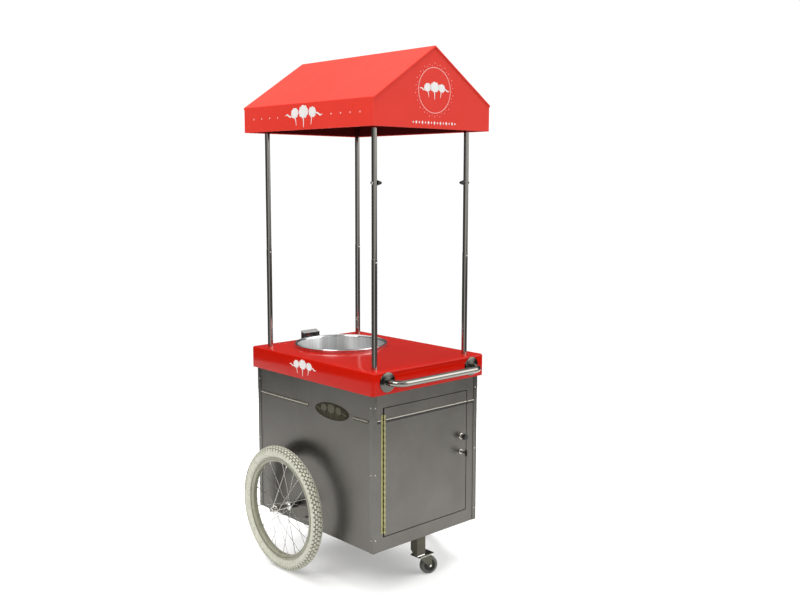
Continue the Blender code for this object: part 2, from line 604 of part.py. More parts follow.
def tyre(side):
    """Hollow tyre; its flat under side rests on the floor."""
    flank, lip = 12, 0.013
    middle = WHEEL_R - TYRE_R * math.cos(math.radians(flank))
    flat = math.cos(math.pi / WHEEL_SIDES)
    outer = arc((middle, 0), TYRE_R, -125, -flank, 4) + arc((middle, 0), TYRE_R, flank, 125, 4)
    inner = arc((middle, 0), TYRE_R - 0.004, 125, -125, 4)
    outline = [(RIM_R + GAP, -lip)] + outer + [(RIM_R + GAP, lip),
                                               (RIM_R + GAP, lip - 0.004)] + inner + [(RIM_R + GAP,
                                                                                       0.004 - lip)]
    body = turned("tyre_left" if side < 0 else "tyre_right", [(r / flat, h) for r, h in outline],
                  WHEEL_SIDES, "X", math.pi / WHEEL_SIDES)
    return finish(body, IVORY, 0.0, 0.7, at=(side * WHEEL_X, WHEEL_Y, WHEEL_R))


def rim(side):
    half, low, high = RIM_HALF, RIM_INNER_R, RIM_R
    outline = [(high, -half), (0.199, -half), (low, -0.009), (low, 0.009), (0.199, half), (high, half),
               (high, half - 0.002), (0.199, half - 0.003), (low + 0.003, 0.008), (low + 0.003, -0.008),
               (0.199, 0.003 - half), (high, 0.002 - half)]
    body = turned("rim_left" if side < 0 else "rim_right", outline, WHEEL_SIDES, "X", math.pi / WHEEL_SIDES)
    return finish(body, IVORY, 0.0, 0.3, at=(side * WHEEL_X, WHEEL_Y, WHEEL_R))


def spoke(number):
    """One spoke from a hub flange to the rim; neighbours lean opposite ways on the two flanges."""
    side = 1 if number % 2 else -1
    lean = 1 if number % 4 < 2 else -1
    turn = 2 * math.pi * number / SPOKES
    start = Vector((side * (HUB_FLANGE_X + 0.0016 * lean), 0.0165 * math.cos(turn - lean * 1.1),
                    0.0165 * math.sin(turn - lean * 1.1)))
    end_r = RIM_INNER_R * math.cos(math.pi / WHEEL_SIDES) - GAP - 0.0005
    end = Vector((side * 0.003, end_r * math.cos(turn), end_r * math.sin(turn)))
    bar = rod("spoke", 0.0009, 0, (end - start).length, 6)
    bar.data.transform(Matrix.Translation(start) @ (end - start).to_track_quat("Z",
                                                                               "Y").to_matrix().to_4x4())
    return bar


def hub_spokes(side):
    bore, flange, barrel = AXLE_R + GAP, HUB_FLANGE_X, HUB_BARREL_R
    right = [(bore, HUB_HALF), (0.009, HUB_HALF), (0.010, flange + 0.0022), (HUB_FLANGE_R, flange + 0.0022),
             (HUB_FLANGE_R, flange - 0.0022), (barrel, flange - 0.0022)]
    outline = [(r, -h) for r, h in right] + [(r, h) for r, h in reversed(right)]
    hub = turned("hub_spokes_left" if side < 0 else "hub_spokes_right", outline, 20, "X")
    weld(hub, joined("spokes", [spoke(i) for i in range(SPOKES)]))
    return finish(hub, CHROME, 1.0, 0.2, at=(side * WHEEL_X, WHEEL_Y, WHEEL_R))


def axle():
    """Through axle with its end nuts."""
    nut = WHEEL_X + HUB_HALF + GAP
    right = [(AXLE_R, nut), (0.0095, nut), (0.0095, nut + 0.009), (AXLE_R, nut + 0.009),
             (AXLE_R, AXLE_TIP - 0.001), (0.005, AXLE_TIP)]
    outline = [(0, -AXLE_TIP)] + [(r, -h) for r, h in reversed(right)] + right + [(0, AXLE_TIP)]
    return finish(turned("axle", outline, 12, "X"), CHROME, 1.0, 0.3, at=(0, WHEEL_Y, WHEEL_R))


def axle_spacer(side):
    low, high = CAB_HALF_X - TRIM, WHEEL_X - HUB_HALF - GAP
    outline = [(AXLE_R + GAP, low), (0.015, low), (0.012, high), (AXLE_R + GAP, high)]
    spacer = turned("axle_spacer_left" if side < 0 else "axle_spacer_right",
                    [(r, side * h) for r, h in outline], 16, "X")
    return finish(spacer, BLACK, 0.0, 0.6, at=(0, WHEEL_Y, WHEEL_R))


# ---------------------------------------------------------------- caster

def caster_leg():
    """Box leg under the floor with a welded foot plate."""
    half, top, foot = LEG_HALF_X, CAB_BASE + SHEET, FOOT_Z + FOOT_PLATE
    depth = LEG_HALF_Y
    outline = [(-depth, top), (-depth, foot - 0.001), (-depth + 0.014, foot - 0.001), (depth, foot + 0.020),
               (depth, top)]
    leg = prism("caster_leg", outline, *span(half), "X")
    inner = [(-depth + LEG_WALL, top + 0.01), (-depth + LEG_WALL, foot), (-depth + 0.012, foot),
             (depth - LEG_WALL, foot + 0.0235), (depth - LEG_WALL, top + 0.01)]
    cut(leg, prism("inner", inner, *span(half - LEG_WALL), "X"))
    weld(leg, box("foot", (-0.012, 0.062), (-0.027, 0.026), (FOOT_Z, foot)))
    return finish(leg, DARK_STEEL, 1.0, 0.4, at=(0, LEG_Y, 0), smooth=False)


def caster_plate():
    high = FOOT_Z - GAP
    plate = box("caster_plate", span(0.034), (-0.028, 0.027), (high - 0.003, high))
    boss = turned("boss", [(0, 0.0785), (0.020, 0.0785), (0.023, high - 0.0025), (0, high - 0.0025)], 20)
    return finish(weld(plate, boss), CHROME, 1.0, 0.3, at=(SWIVEL_X, LEG_Y, 0))


def caster_fork():
    """Swivel fork with the wheel's axle bolt, in line with its trail."""
    top, wheel_z, arm_y = 0.0782, CASTER_R, CASTER_HALF + 0.002
    fork = turned("caster_fork", [(0, top - 0.003), (0.021, top - 0.003), (0.021, top), (0, top)], 20)
    outline = [(-0.017, top - 0.001), (0.040, top - 0.001), (CASTER_TRAIL + 0.009, wheel_z),
               (CASTER_TRAIL, wheel_z - 0.009),
               (CASTER_TRAIL - 0.009, wheel_z)]
    arms = [prism("arm", outline, *sorted((side * arm_y, side * (arm_y + 0.0025))), "Y") for side in (-1,
                                                                                                      1)]
    crown = box("crown", (-0.017, 0.040), span(arm_y + 0.001), (top - 0.0031, top - 0.0008))
    bolt = shift(turned("bolt",
                        [(0, -0.0195), (0.0065, -0.0195), (0.0065, -0.0150), (0.0035, -0.0150),
                         (0.0035, 0.0150), (0.0065, 0.0150),
                                 (0.0065, 0.0195), (0, 0.0195)], 12, "Y"), (CASTER_TRAIL, 0, wheel_z))
    return finish(weld(fork, crown, *arms, bolt), CHROME, 1.0, 0.3, at=(SWIVEL_X, LEG_Y, 0),
                  turn=CASTER_TURN)


def caster_wheel():
    flat, half = math.cos(math.pi / CASTER_SIDES), CASTER_HALF
    outline = [(0.0038, -half), (0.010, -half), (0.012, 0.002 - half), (0.024, 0.002 - half),
               (0.026, -half), (0.0345 / flat, -half),
               (CASTER_R / flat, 0.003 - half), (CASTER_R / flat, half - 0.003), (0.0345 / flat, half),
               (0.026, half), (0.024, half - 0.002),
               (0.012, half - 0.002), (0.010, half), (0.0038, half)]
    wheel = turned("caster_wheel", outline, CASTER_SIDES, "Y", math.pi / CASTER_SIDES)
    trail = (CASTER_TRAIL * math.cos(CASTER_TURN), CASTER_TRAIL * math.sin(CASTER_TURN))
    at = (SWIVEL_X + trail[0], LEG_Y + trail[1], CASTER_R)
    return finish(wheel, BLACK, 0.0, 0.5, at=at, turn=CASTER_TURN)


# ---------------------------------------------------------------- assembly

def build():
    clear_scene()
    cart = bpy.data.objects.new("cart", None)
    cart.location = (0, SETBACK, 0)
    bpy.context.scene.collection.objects.link(cart)
    for side in (-1, 1):
        side_panel(side)
        emblem(side)
        for end in (-1, 1):
            corner_trim(side, end)
            post(side, end)
        name = "left" if side < 0 else "right"
        bead(f"side_bead_rear_{name}", side, (0.023, 0.345))
        bead(f"side_bead_front_{name}", side, (-0.345, -0.256))
        cross_bolt(side)
        bolt_knob(side)
        tyre(side)
        rim(side)
        hub_spokes(side)
        axle_spacer(side)
    single = (end_panel, door_frame, floor_pan, door_panel, door_strip, hinge_pin, door_knob, lock_body,
              lock_plug,
              worktop, worktop_frame, bowl, spinner_shaft, spinner_head, heater_ring, motor, motor_bridge,
              control_hood, control_panel, rocker_switch, heat_dial, canopy, canopy_frame, push_handle,
              axle,
              caster_leg, caster_plate, caster_fork, caster_wheel)
    for make in single:
        make()
    hinge_leaf("hinge_leaf_frame", -1, 0)
    hinge_leaf("hinge_leaf_door", 1, 1)


build()
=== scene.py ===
"""Looks of the candy floss cart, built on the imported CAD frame. Metres, +Z up, door and push handle at -Y."""

import json
import math

import bmesh
import bpy
from mathutils import Matrix, Vector


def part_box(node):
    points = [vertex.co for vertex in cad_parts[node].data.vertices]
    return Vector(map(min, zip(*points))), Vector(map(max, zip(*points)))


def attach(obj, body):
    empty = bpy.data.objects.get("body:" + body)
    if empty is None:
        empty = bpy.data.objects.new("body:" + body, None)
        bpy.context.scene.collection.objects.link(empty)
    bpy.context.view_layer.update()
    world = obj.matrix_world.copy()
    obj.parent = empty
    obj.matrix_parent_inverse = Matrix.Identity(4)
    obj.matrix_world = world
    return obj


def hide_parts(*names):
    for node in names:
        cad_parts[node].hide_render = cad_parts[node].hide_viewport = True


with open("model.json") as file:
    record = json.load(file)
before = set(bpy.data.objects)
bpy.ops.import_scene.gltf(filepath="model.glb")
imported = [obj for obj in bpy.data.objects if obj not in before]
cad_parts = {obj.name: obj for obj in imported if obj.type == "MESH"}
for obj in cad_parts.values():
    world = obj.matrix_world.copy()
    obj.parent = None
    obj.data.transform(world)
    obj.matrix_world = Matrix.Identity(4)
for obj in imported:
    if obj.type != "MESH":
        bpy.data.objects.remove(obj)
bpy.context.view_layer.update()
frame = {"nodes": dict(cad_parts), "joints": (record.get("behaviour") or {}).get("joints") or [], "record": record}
NODES = frame["nodes"]
JOINTS = {joint["name"]: joint for joint in frame["joints"]}
TAU = 2 * math.pi
SIDES = {"left": -1, "right": 1}
UP = Vector((0, 0, 1))


def centre_of(node):
    low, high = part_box(node)
    return (low + high) / 2


WHEEL = {name: centre_of(f"tyre_{name}") for name in SIDES}
SECTION_R, KNOB_H, TREAD_COUNT, SPOKES = 0.0216, 0.0034, 80, 28
CROWN_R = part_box("tyre_left")[1].z - WHEEL["left"].z - SECTION_R - KNOB_H


# ---------------------------- shader helpers

def shader(name, **sockets):
    """A material with its Principled sockets set."""
    made = bpy.data.materials.new(name)
    made.use_nodes = True
    bsdf = made.node_tree.nodes["Principled BSDF"]
    for key, value in sockets.items():
        socket = bsdf.inputs[key.replace("_", " ")]
        socket.default_value = (*value, 1.0) if isinstance(value, tuple) else value
    return made


def node(owner, kind, **settings):
    """A new node in a material or in the world."""
    made = owner.node_tree.nodes.new("ShaderNode" + kind)
    for key, value in settings.items():
        setattr(made, key, value)
    return made


def link(owner, source, target):
    owner.node_tree.links.new(source, target)


def feed(owner, value, socket):
    """Sets a socket to a number or a colour, or links an output to it."""
    if isinstance(value, (int, float)):
        socket.default_value = value
    elif isinstance(value, tuple):
        socket.default_value = (*value, 1.0)
    else:
        link(owner, value, socket)


def principled(mat):
    return mat.node_tree.nodes["Principled BSDF"]


def coords(mat, stretch=(1, 1, 1)):
    """Object coordinates, scaled per axis."""
    place = node(mat, "TexCoord")
    scale = node(mat, "Mapping")
    scale.inputs["Scale"].default_value = stretch
    link(mat, place.outputs["Object"], scale.inputs["Vector"])
    return scale.outputs["Vector"]


def xyz(mat):
    """The three object coordinates, each on its own."""
    split = node(mat, "SeparateXYZ")
    link(mat, coords(mat), split.inputs[0])
    return split.outputs


def noise(mat, scale, detail=3.0, rough=0.5, stretch=(1, 1, 1)):
    made = node(mat, "TexNoise")
    made.inputs["Scale"].default_value = scale
    made.inputs["Detail"].default_value = detail
    made.inputs["Roughness"].default_value = rough
    link(mat, coords(mat, stretch), made.inputs["Vector"])
    return made.outputs["Fac"]


def spread(owner, value, low, high, to_low, to_high, **settings):
    made = node(owner, "MapRange", **settings)
    for key, given in (("Value", value), ("From Min", low), ("From Max", high),
                       ("To Min", to_low), ("To Max", to_high)):
        feed(owner, given, made.inputs[key])
    return made.outputs["Result"]


def ramp(mat, value, *stops):
    made = node(mat, "ValToRGB")
    link(mat, value, made.inputs["Fac"])
    while len(made.color_ramp.elements) < len(stops):
        made.color_ramp.elements.new(0.5)
    for element, (position, colour) in zip(made.color_ramp.elements, stops):
        element.position = position
        element.color = (*colour, 1.0)
    return made.outputs["Color"]


def blend_colours(mat, fac, first, second, mode="MIX"):
    made = node(mat, "Mix", data_type="RGBA", blend_type=mode)
    for key, value in ((0, fac), (6, first), (7, second)):
        feed(mat, value, made.inputs[key])
    return made.outputs[2]


def maths(owner, operation, *values):
    made = node(owner, "Math", operation=operation)
    for value, socket in zip(values, made.inputs):
        feed(owner, value, socket)
    return made.outputs[0]


def distance(mat, first, second):
    """Square root of the sum of two squares."""
    squares = [maths(mat, "MULTIPLY", value, value) for value in (first, second)]
    return maths(mat, "SQRT", maths(mat, "ADD", *squares))


def radius_from_axis(mat, axis):
    """Distance from the piece's own axis through its origin."""
    return distance(mat, *(way for i, way in enumerate(xyz(mat)) if i != axis))


def set_colour(mat, value):
    link(mat, value, principled(mat).inputs["Base Color"])


def set_rough(mat, value):
    link(mat, value, principled(mat).inputs["Roughness"])


def add_bump(mat, value, strength, depth):
    made = node(mat, "Bump")
    made.inputs["Strength"].default_value = strength
    made.inputs["Distance"].default_value = depth
    link(mat, value, made.inputs["Height"])
    socket = principled(mat).inputs["Normal"]
    if socket.is_linked:
        link(mat, socket.links[0].from_socket, made.inputs["Normal"])
    link(mat, made.outputs["Normal"], socket)


# ---------------------------- materials

def brushed_steel(name, dark, light, grain, rough):
    """Satin sheet: cloudy handling marks over a fine grain that runs where the stretch is small."""
    mat = shader(name, Metallic=1.0, Roughness=0.3)
    clouds, lines = noise(mat, 5.0, 4.0, 0.6), noise(mat, 1.0, 2.0, 0.6, grain)
    tone = ramp(mat, clouds, (0.32, dark), (0.68, light))
    streaks = ramp(mat, lines, (0.3, (0.45, 0.45, 0.45)), (0.7, (1, 1, 1)))
    set_colour(mat, blend_colours(mat, 0.12, tone, streaks, "MULTIPLY"))
    both = maths(mat, "ADD", maths(mat, "MULTIPLY", clouds, 0.6), maths(mat, "MULTIPLY", lines, 0.4))
    set_rough(mat, spread(mat, both, 0.3, 0.7, *rough))
    add_bump(mat, lines, 0.04, 0.0003)
    add_bump(mat, noise(mat, 3.0, 1.0), 0.12, 0.01)
    return mat


def polished(name, colour, rough, scratch=0.02):
    """Bright metal with smears and fine scratches."""
    mat = shader(name, Base_Color=colour, Metallic=1.0)
    set_rough(mat, spread(mat, noise(mat, 18.0, 4.0, 0.6), 0.35, 0.7, *rough))
    add_bump(mat, noise(mat, 900.0, 2.0, 0.6, (1, 1, 0.05)), scratch, 0.0002)
    return mat


def gloss_red(name, deep, bright, rough, peel):
    """Coloured gel-coat or lacquer with a faint orange peel."""
    mat = shader(name, Specular_IOR_Level=0.12)
    set_colour(mat, ramp(mat, noise(mat, 2.2, 3.0), (0.35, deep), (0.65, bright)))
    set_rough(mat, spread(mat, noise(mat, 14.0, 4.0, 0.6), 0.3, 0.7, *rough))
    add_bump(mat, noise(mat, 260.0, 1.0), peel, 0.0006)
    add_bump(mat, noise(mat, 5.0, 1.0), 0.05, 0.01)
    return mat


def tyre_rubber(name, clean, worn, gap_shade_colour):
    """Pale rubber with faint scuffs, and painted shade on the carcass between the tread blocks."""
    mat = shader(name, Roughness=0.62, Specular_IOR_Level=0.35)
    wear = noise(mat, 60.0, 5.0, 0.65)
    tone = ramp(mat, wear, (0.36, worn), (0.56, clean))
    reach = radius_from_axis(mat, 0)
    section = distance(mat, maths(mat, "SUBTRACT", reach, CROWN_R), xyz(mat)[0])
    # the carcass between the tread blocks is darkened: painted shade
    gap_shade_mask = spread(mat, section, SECTION_R + 0.0004, SECTION_R + 0.0024, 0.92, 0.0)
    tread = spread(mat, reach, CROWN_R + 0.0065, CROWN_R + 0.0095, 0.0, 1.0)
    set_colour(mat, blend_colours(mat, maths(mat, "MULTIPLY", gap_shade_mask, tread), tone, gap_shade_colour))
    set_rough(mat, spread(mat, wear, 0.3, 0.7, 0.5, 0.75))
    add_bump(mat, noise(mat, 700.0, 3.0), 0.2, 0.0005)
    return mat


def plain_plastic(name, colour, rough, fleck):
    """Moulded plastic or rubber with a fine grain."""
    mat = shader(name, Specular_IOR_Level=0.4)
    grain = noise(mat, 420.0, 3.0)
    lighter = tuple(min(1.0, c * fleck + 0.004) for c in colour)
    set_colour(mat, ramp(mat, noise(mat, 40.0, 4.0), (0.35, colour), (0.7, lighter)))
    set_rough(mat, spread(mat, grain, 0.3, 0.7, rough - 0.06, rough + 0.08))
    add_bump(mat, grain, 0.15, 0.0003)
    return mat


def spun_metal(name, colour, rough):
    """Turned metal with fine rings round its upright axis."""
    mat = shader(name, Metallic=1.0)
    rings = maths(mat, "SINE", maths(mat, "MULTIPLY", radius_from_axis(mat, 2), 1400.0))
    smears = noise(mat, 14.0, 4.0, 0.6)
    shade = tuple(c * 0.82 for c in colour)
    set_colour(mat, ramp(mat, smears, (0.3, shade), (0.65, colour)))
    set_rough(mat, spread(mat, smears, 0.3, 0.7, *rough))
    add_bump(mat, rings, 0.06, 0.0003)
    return mat


def spun_bowl(name):
    """Bright spun sheet with streaks running up the wall and a smoother rim."""
    mat = shader(name, Metallic=1.0)
    broad = noise(mat, 1.0, 3.0, 0.6, (16.0, 16.0, 0.6))
    fine = noise(mat, 1.0, 2.0, 0.5, (150.0, 150.0, 2.0))
    tone = ramp(mat, broad, (0.34, (0.66, 0.66, 0.65)), (0.64, (0.96, 0.97, 0.98)))
    streaks = ramp(mat, fine, (0.3, (0.62, 0.62, 0.62)), (0.7, (1, 1, 1)))
    low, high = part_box("bowl")
    height, rim = xyz(mat)[2], (high.z - low.z) / 2
    polish = spread(mat, height, rim - 0.012, rim - 0.006, 1.0, 0.35)
    set_colour(mat, blend_colours(mat, 0.35, tone, streaks, "MULTIPLY"))
    set_rough(mat, maths(mat, "MULTIPLY", spread(mat, broad, 0.3, 0.7, 0.34, 0.46), polish))
    add_bump(mat, maths(mat, "SINE", maths(mat, "MULTIPLY", height, 3000.0)), 0.04, 0.0002)
    return mat


def painted(name, colour, rough, fleck=1.25, shine=0.5):
    mat = shader(name, Specular_IOR_Level=shine)
    lighter = tuple(min(1.0, c * fleck) for c in colour)
    set_colour(mat, ramp(mat, noise(mat, 9.0, 5.0, 0.6), (0.35, colour), (0.7, lighter)))
    set_rough(mat, spread(mat, noise(mat, 35.0, 3.0), 0.3, 0.7, rough - 0.07, rough + 0.08))
    add_bump(mat, noise(mat, 320.0, 2.0), 0.08, 0.0004)
    return mat


def plywood(name, pale, dark):
    mat = shader(name, Specular_IOR_Level=0.3)
    grain = noise(mat, 6.0, 6.0, 0.65, (1.0, 9.0, 40.0))
    set_colour(mat, ramp(mat, grain, (0.35, dark), (0.65, pale)))
    set_rough(mat, spread(mat, grain, 0.3, 0.7, 0.5, 0.7))
    add_bump(mat, grain, 0.15, 0.0005)
    return mat


UPRIGHT_GRAIN, ACROSS_GRAIN, LEG_GRAIN = (700.0, 700.0, 6.0), (700.0, 6.0, 700.0), (5.0, 5.0, 300.0)
LOOKS = {
    # the record's material slots
    "red_moulding": (gloss_red, (0.45, 0.006, 0.001), (0.50, 0.008, 0.002), (0.09, 0.16), 0.02),
    "red_canopy": (gloss_red, (0.65, 0.040, 0.027), (0.69, 0.045, 0.031), (0.45, 0.60), 0.10),
    "stainless": (brushed_steel, (0.128, 0.123, 0.111), (0.158, 0.152, 0.138), UPRIGHT_GRAIN, (0.30, 0.42)),
    "stainless_trim": (brushed_steel, (0.115, 0.112, 0.100), (0.150, 0.146, 0.132), UPRIGHT_GRAIN,
                       (0.22, 0.32)),
    "bright_trim": (polished, (0.46, 0.44, 0.38), (0.26, 0.38)),
    "dark_badge": (painted, (0.026, 0.023, 0.013), 0.50, 1.6, 0.10),
    "polished_tube": (polished, (0.25, 0.24, 0.215), (0.04, 0.09)),
    "spun_bowl": (spun_bowl,),
    "head_metal": (spun_metal, (0.62, 0.62, 0.61), (0.25, 0.40)),
    "plated_steel": (polished, (0.50, 0.49, 0.45), (0.20, 0.34), 0.04),
    "hub_metal": (polished, (0.74, 0.73, 0.70), (0.12, 0.22)),
    "brass_hinge": (polished, (0.44, 0.42, 0.21), (0.36, 0.50), 0.04),
    "black_knob": (plain_plastic, (0.012, 0.012, 0.012), 0.30, 1.5),
    "black_panel": (plain_plastic, (0.016, 0.010, 0.010), 0.38, 1.5),
    "black_bush": (plain_plastic, (0.014, 0.014, 0.013), 0.6, 1.7),
    "red_rocker": (plain_plastic, (0.16, 0.006, 0.005), 0.25, 1.1),
    # the tyre's third colour is painted shade between the tread blocks
    "ivory_tyre": (tyre_rubber, (0.60, 0.60, 0.51), (0.48, 0.48, 0.39), (0.17, 0.17, 0.115)),
    # ivory_rim is darker and greyer than the ivory tyre: painted shade on the rim
    "ivory_rim": (painted, (0.29, 0.29, 0.215), 0.30, 1.18),
    "caster_tyre": (plain_plastic, (0.075, 0.077, 0.066), 0.5, 1.4),
    "painted_leg": (brushed_steel, (0.070, 0.066, 0.048), (0.115, 0.110, 0.090), LEG_GRAIN, (0.34, 0.5)),
    "motor_case": (painted, (0.035, 0.036, 0.038), 0.4, 1.5),
    "heater_coil": (polished, (0.36, 0.25, 0.19), (0.3, 0.5), 0.05),
    "ply_frame": (plywood, (0.55, 0.38, 0.21), (0.38, 0.25, 0.13)),
    # ply_red's near-black red is painted shade under the canopy
    "ply_red": (painted, (0.060, 0.001, 0.001), 0.8, 1.25, 0.1),
    # looks of single pieces
    "hood": (brushed_steel, (0.62, 0.60, 0.58), (0.70, 0.68, 0.66), ACROSS_GRAIN, (0.28, 0.38)),
    # the door half's darker copy of the hinge brass: painted shade
    "dull_brass": (polished, (0.38, 0.365, 0.19), (0.4, 0.55), 0.04),
    "post": (polished, (0.42, 0.40, 0.365), (0.05, 0.11)),
    # the roses' dark copy of the tube metal is a painted dark reflection
    "rose": (polished, (0.115, 0.112, 0.098), (0.06, 0.12)),
    "wire": (polished, (0.52, 0.51, 0.48), (0.18, 0.30)),
    "bronze": (polished, (0.105, 0.100, 0.070), (0.30, 0.42), 0.04),
    "dark_plate": (polished, (0.115, 0.115, 0.092), (0.28, 0.42), 0.04),
    "faint_print": (painted, (0.80, 0.42, 0.40), 0.45, 1.05),
    "white_print": (painted, (0.72, 0.70, 0.69), 0.45, 1.06),
    # painted shadow under the side beads
    "olive_seal": (plain_plastic, (0.052, 0.049, 0.030), 0.55, 1.4),
    "pin_line": (plain_plastic, (0.035, 0.034, 0.030), 0.5, 1.4),
    "caster_centre": (plain_plastic, (0.010, 0.010, 0.008), 0.42, 1.5),
}
MATS = {look: make(f"{look}_look", *settings) for look, (make, *settings) in LOOKS.items()}


# ---------------------------- mesh helpers

def new_object(name, bm):
    """Turns bm's faces outward and makes an object of it."""
    bmesh.ops.recalc_face_normals(bm, faces=bm.faces)
    mesh = bpy.data.meshes.new(name)
    bm.to_mesh(mesh)
    bm.free()
    made = bpy.data.objects.new(name, mesh)
    bpy.context.scene.collection.objects.link(made)
    return made


def smooth(mesh, sharp):
    mesh.shade_smooth()
    mesh.set_sharp_from_angle(angle=math.radians(sharp))


def piece(name, bm, body, slot, look=None, at=(0, 0, 0), turn=(0, 0, 0), replaces=(), bevel=0.0,
          segments=2, sharp=35):
    """Makes a mesh piece that rides on a body. Vertices are in the piece's own place when at is given."""
    made = new_object(name, bm)
    made.data.materials.append(MATS[look or slot])
    smooth(made.data, sharp)
    made.location, made.rotation_euler = at, turn
    if bevel:
        soften(made, bevel, segments)
    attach(made, body)
    if replaces:
        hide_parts(*replaces)
    return made


def soften(made, width, segments=2, angle=32):
    """Rounds the hard edges."""
    merge = made.modifiers.new("merge", "WELD")
    merge.merge_threshold = 0.00002
    edge = made.modifiers.new("edge", "BEVEL")
    edge.width, edge.segments = width, segments
    edge.limit_method, edge.angle_limit = "ANGLE", math.radians(angle)
    edge.harden_normals = True
    edge.use_clamp_overlap = True


def subtract(made, bm):
    """Cuts the solid in bm out of a piece and keeps the result."""
    tool = new_object("tool", bm)
    hole = made.modifiers.new("hole", "BOOLEAN")
    hole.object, hole.operation, hole.solver = tool, "DIFFERENCE", "EXACT"
    bpy.context.view_layer.update()
    cut = bpy.data.meshes.new_from_object(made.evaluated_get(bpy.context.evaluated_depsgraph_get()))
    made.modifiers.clear()
    made.data = cut
    bpy.data.objects.remove(tool, do_unlink=True)
    smooth(cut, 24)


def circle(count):
    """Angles spread evenly round a turn."""
    return [TAU * k / count for k in range(count)]


def bridge(bm, here, there):
    """Adds the faces between two rings. A ring that holds one vertex over and over is a pole."""
    for k in range(len(here)):
        n = (k + 1) % len(here)
        bm.faces.new(list(dict.fromkeys((here[k], here[n], there[n], there[k]))))


def revolve(bm, profile, sides, axis="Z", centre=(0, 0, 0)):
    """Adds a surface of revolution. profile holds (radius, height); radius 0 lies on the axis."""
    spin = {"Z": lambda r, h, a: Vector((r * math.cos(a), r * math.sin(a), h)),
            "X": lambda r, h, a: Vector((h, r * math.cos(a), r * math.sin(a))),
            "Y": lambda r, h, a: Vector((r * math.sin(a), h, r * math.cos(a)))}[axis]
    rings = []
    for r, h in profile:
        if r == 0:
            rings.append([bm.verts.new(Vector(centre) + spin(0, h, 0))] * sides)
        else:
            rings.append([bm.verts.new(Vector(centre) + spin(r, h, a)) for a in circle(sides)])
    for i, here in enumerate(rings):
        following = (i + 1) % len(rings)
        if profile[i][0] or profile[following][0]:
            bridge(bm, here, rings[following])
    return bm


def lathe(profile, sides, axis="Z", **more):
    return revolve(bmesh.new(), profile, sides, axis, **more)


def mirrored(profile):
    """The same profile on the far side, in reverse order."""
    return [(r, -h) for r, h in reversed(profile)]


def arc(centre, radius, start, end, steps):
    angles = [math.radians(start + (end - start) * i / steps) for i in range(steps + 1)]
    return [(centre[0] + radius * math.cos(a), centre[1] + radius * math.sin(a)) for a in angles]


def add_box(bm, x, y, z):
    made = bmesh.ops.create_cube(bm, size=1.0)["verts"]
    for v in made:
        v.co = Vector([low + (side + 0.5) * (high - low) for side, (low, high) in zip(v.co, (x, y, z))])
    return made


def add_prism(bm, outline, low, high):
    """Adds an outline of (x, z) points extruded along Y."""
    rings = [[bm.verts.new((x, y, z)) for x, z in outline] for y in (low, high)]
    bm.faces.new(rings[0])
    bm.faces.new(rings[1][::-1])
    bridge(bm, *rings)
    return bm


def sweep(bm, path, radius, sides, up=UP):
    """Round bar along a path that lies square to up."""
    rings = []
    for i, point in enumerate(path):
        along = (path[min(i + 1, len(path) - 1)] - path[max(i - 1, 0)]).normalized()
        across = along.cross(up).normalized()
        high = across.cross(along).normalized()
        rings.append([bm.verts.new(point + radius * (math.cos(a) * across + math.sin(a) * high))
                      for a in circle(sides)])
    for here, there in zip(rings, rings[1:]):
        bridge(bm, here, there)
    bm.faces.new(rings[0][::-1])
    bm.faces.new(rings[-1])
    return bm


def bar(bm, start, end, radius, sides):
    """Straight round bar between two points."""
    along = (end - start).normalized()
    up = Vector((1, 0, 0)) if abs(along.x) < 0.9 else Vector((0, 1, 0))
    sweep(bm, [start, end], radius, sides, up)


# ---------------------------- CAD nodes that keep their own shape

for entry in frame["record"]["subparts"]:
    mesh = NODES[entry["node"]].data
    mesh.materials.clear()
    mesh.materials.append(MATS[entry["material_slot"]])
for title, look in (("control_hood", "hood"), ("caster_fork", "dark_plate"), ("lock_plug", "dark_plate")):
    NODES[title].data.materials[0] = MATS[look]

EDGES = {
    (0.0006, 2): ("door_panel", "door_frame", "end_panel", "side_panel_left", "side_panel_right", "floor_pan",
                  "motor_bridge", "corner_trim_front_left", "corner_trim_front_right",
                  "corner_trim_rear_left", "corner_trim_rear_right", "control_panel", "rocker_switch",
                  "heat_dial", "lock_body", "lock_plug"),
    (0.0006, 1): ("spinner_shaft", "spinner_head", "heater_ring"),
    (0.0008, 2): ("bolt_knob_left", "bolt_knob_right", "cross_bolt_left", "cross_bolt_right", "caster_fork"),
    (0.0015, 2): ("caster_leg", "caster_plate", "worktop_frame", "canopy_frame", "door_knob", "motor",
                  "axle_spacer_left", "axle_spacer_right"),
    (0.0030, 3): ("control_hood",),
}
for (width, segments), names in EDGES.items():
    for name in names:
        soften(NODES[name], width, segments)


# ---------------------------- printed motifs: puffs of floss, ribbons, rings and dots

PRINT_LIFT, PRINT_SINK = 0.0004, -0.0002


def puff_outline(width, tall):
    """Scalloped oval, as points round its middle."""
    lobes, steps, points = 9, 7, []
    for i in range(lobes):
        a, b = TAU * i / lobes, TAU * (i + 1) / lobes
        first = Vector((width * math.cos(a), tall * math.sin(a)))
        last = Vector((width * math.cos(b), tall * math.sin(b)))
        middle, half = (first + last) / 2, (last - first).length / 2
        out = (last - first).orthogonal().normalized()
        if out.dot(middle) < 0:
            out = -out
        for k in range(steps):
            t = math.pi * k / steps
            points.append(middle - math.cos(t) * (last - first) / 2 + out * math.sin(t) * half * 0.72)
    return [(p.x, p.y) for p in points]


def plot(bm, points, plane):
    """Adds a thin raised print. plane holds its origin, the ways across and up, and how far it stands out."""
    origin, across, up, lift = plane
    out = across.cross(up).normalized()
    low, high = ([bm.verts.new(origin + across * x + up * y + out * depth) for x, y in points]
                 for depth in (PRINT_SINK, lift))
    bm.faces.new(low[::-1])
    bm.faces.new(high)
    bridge(bm, low, high)


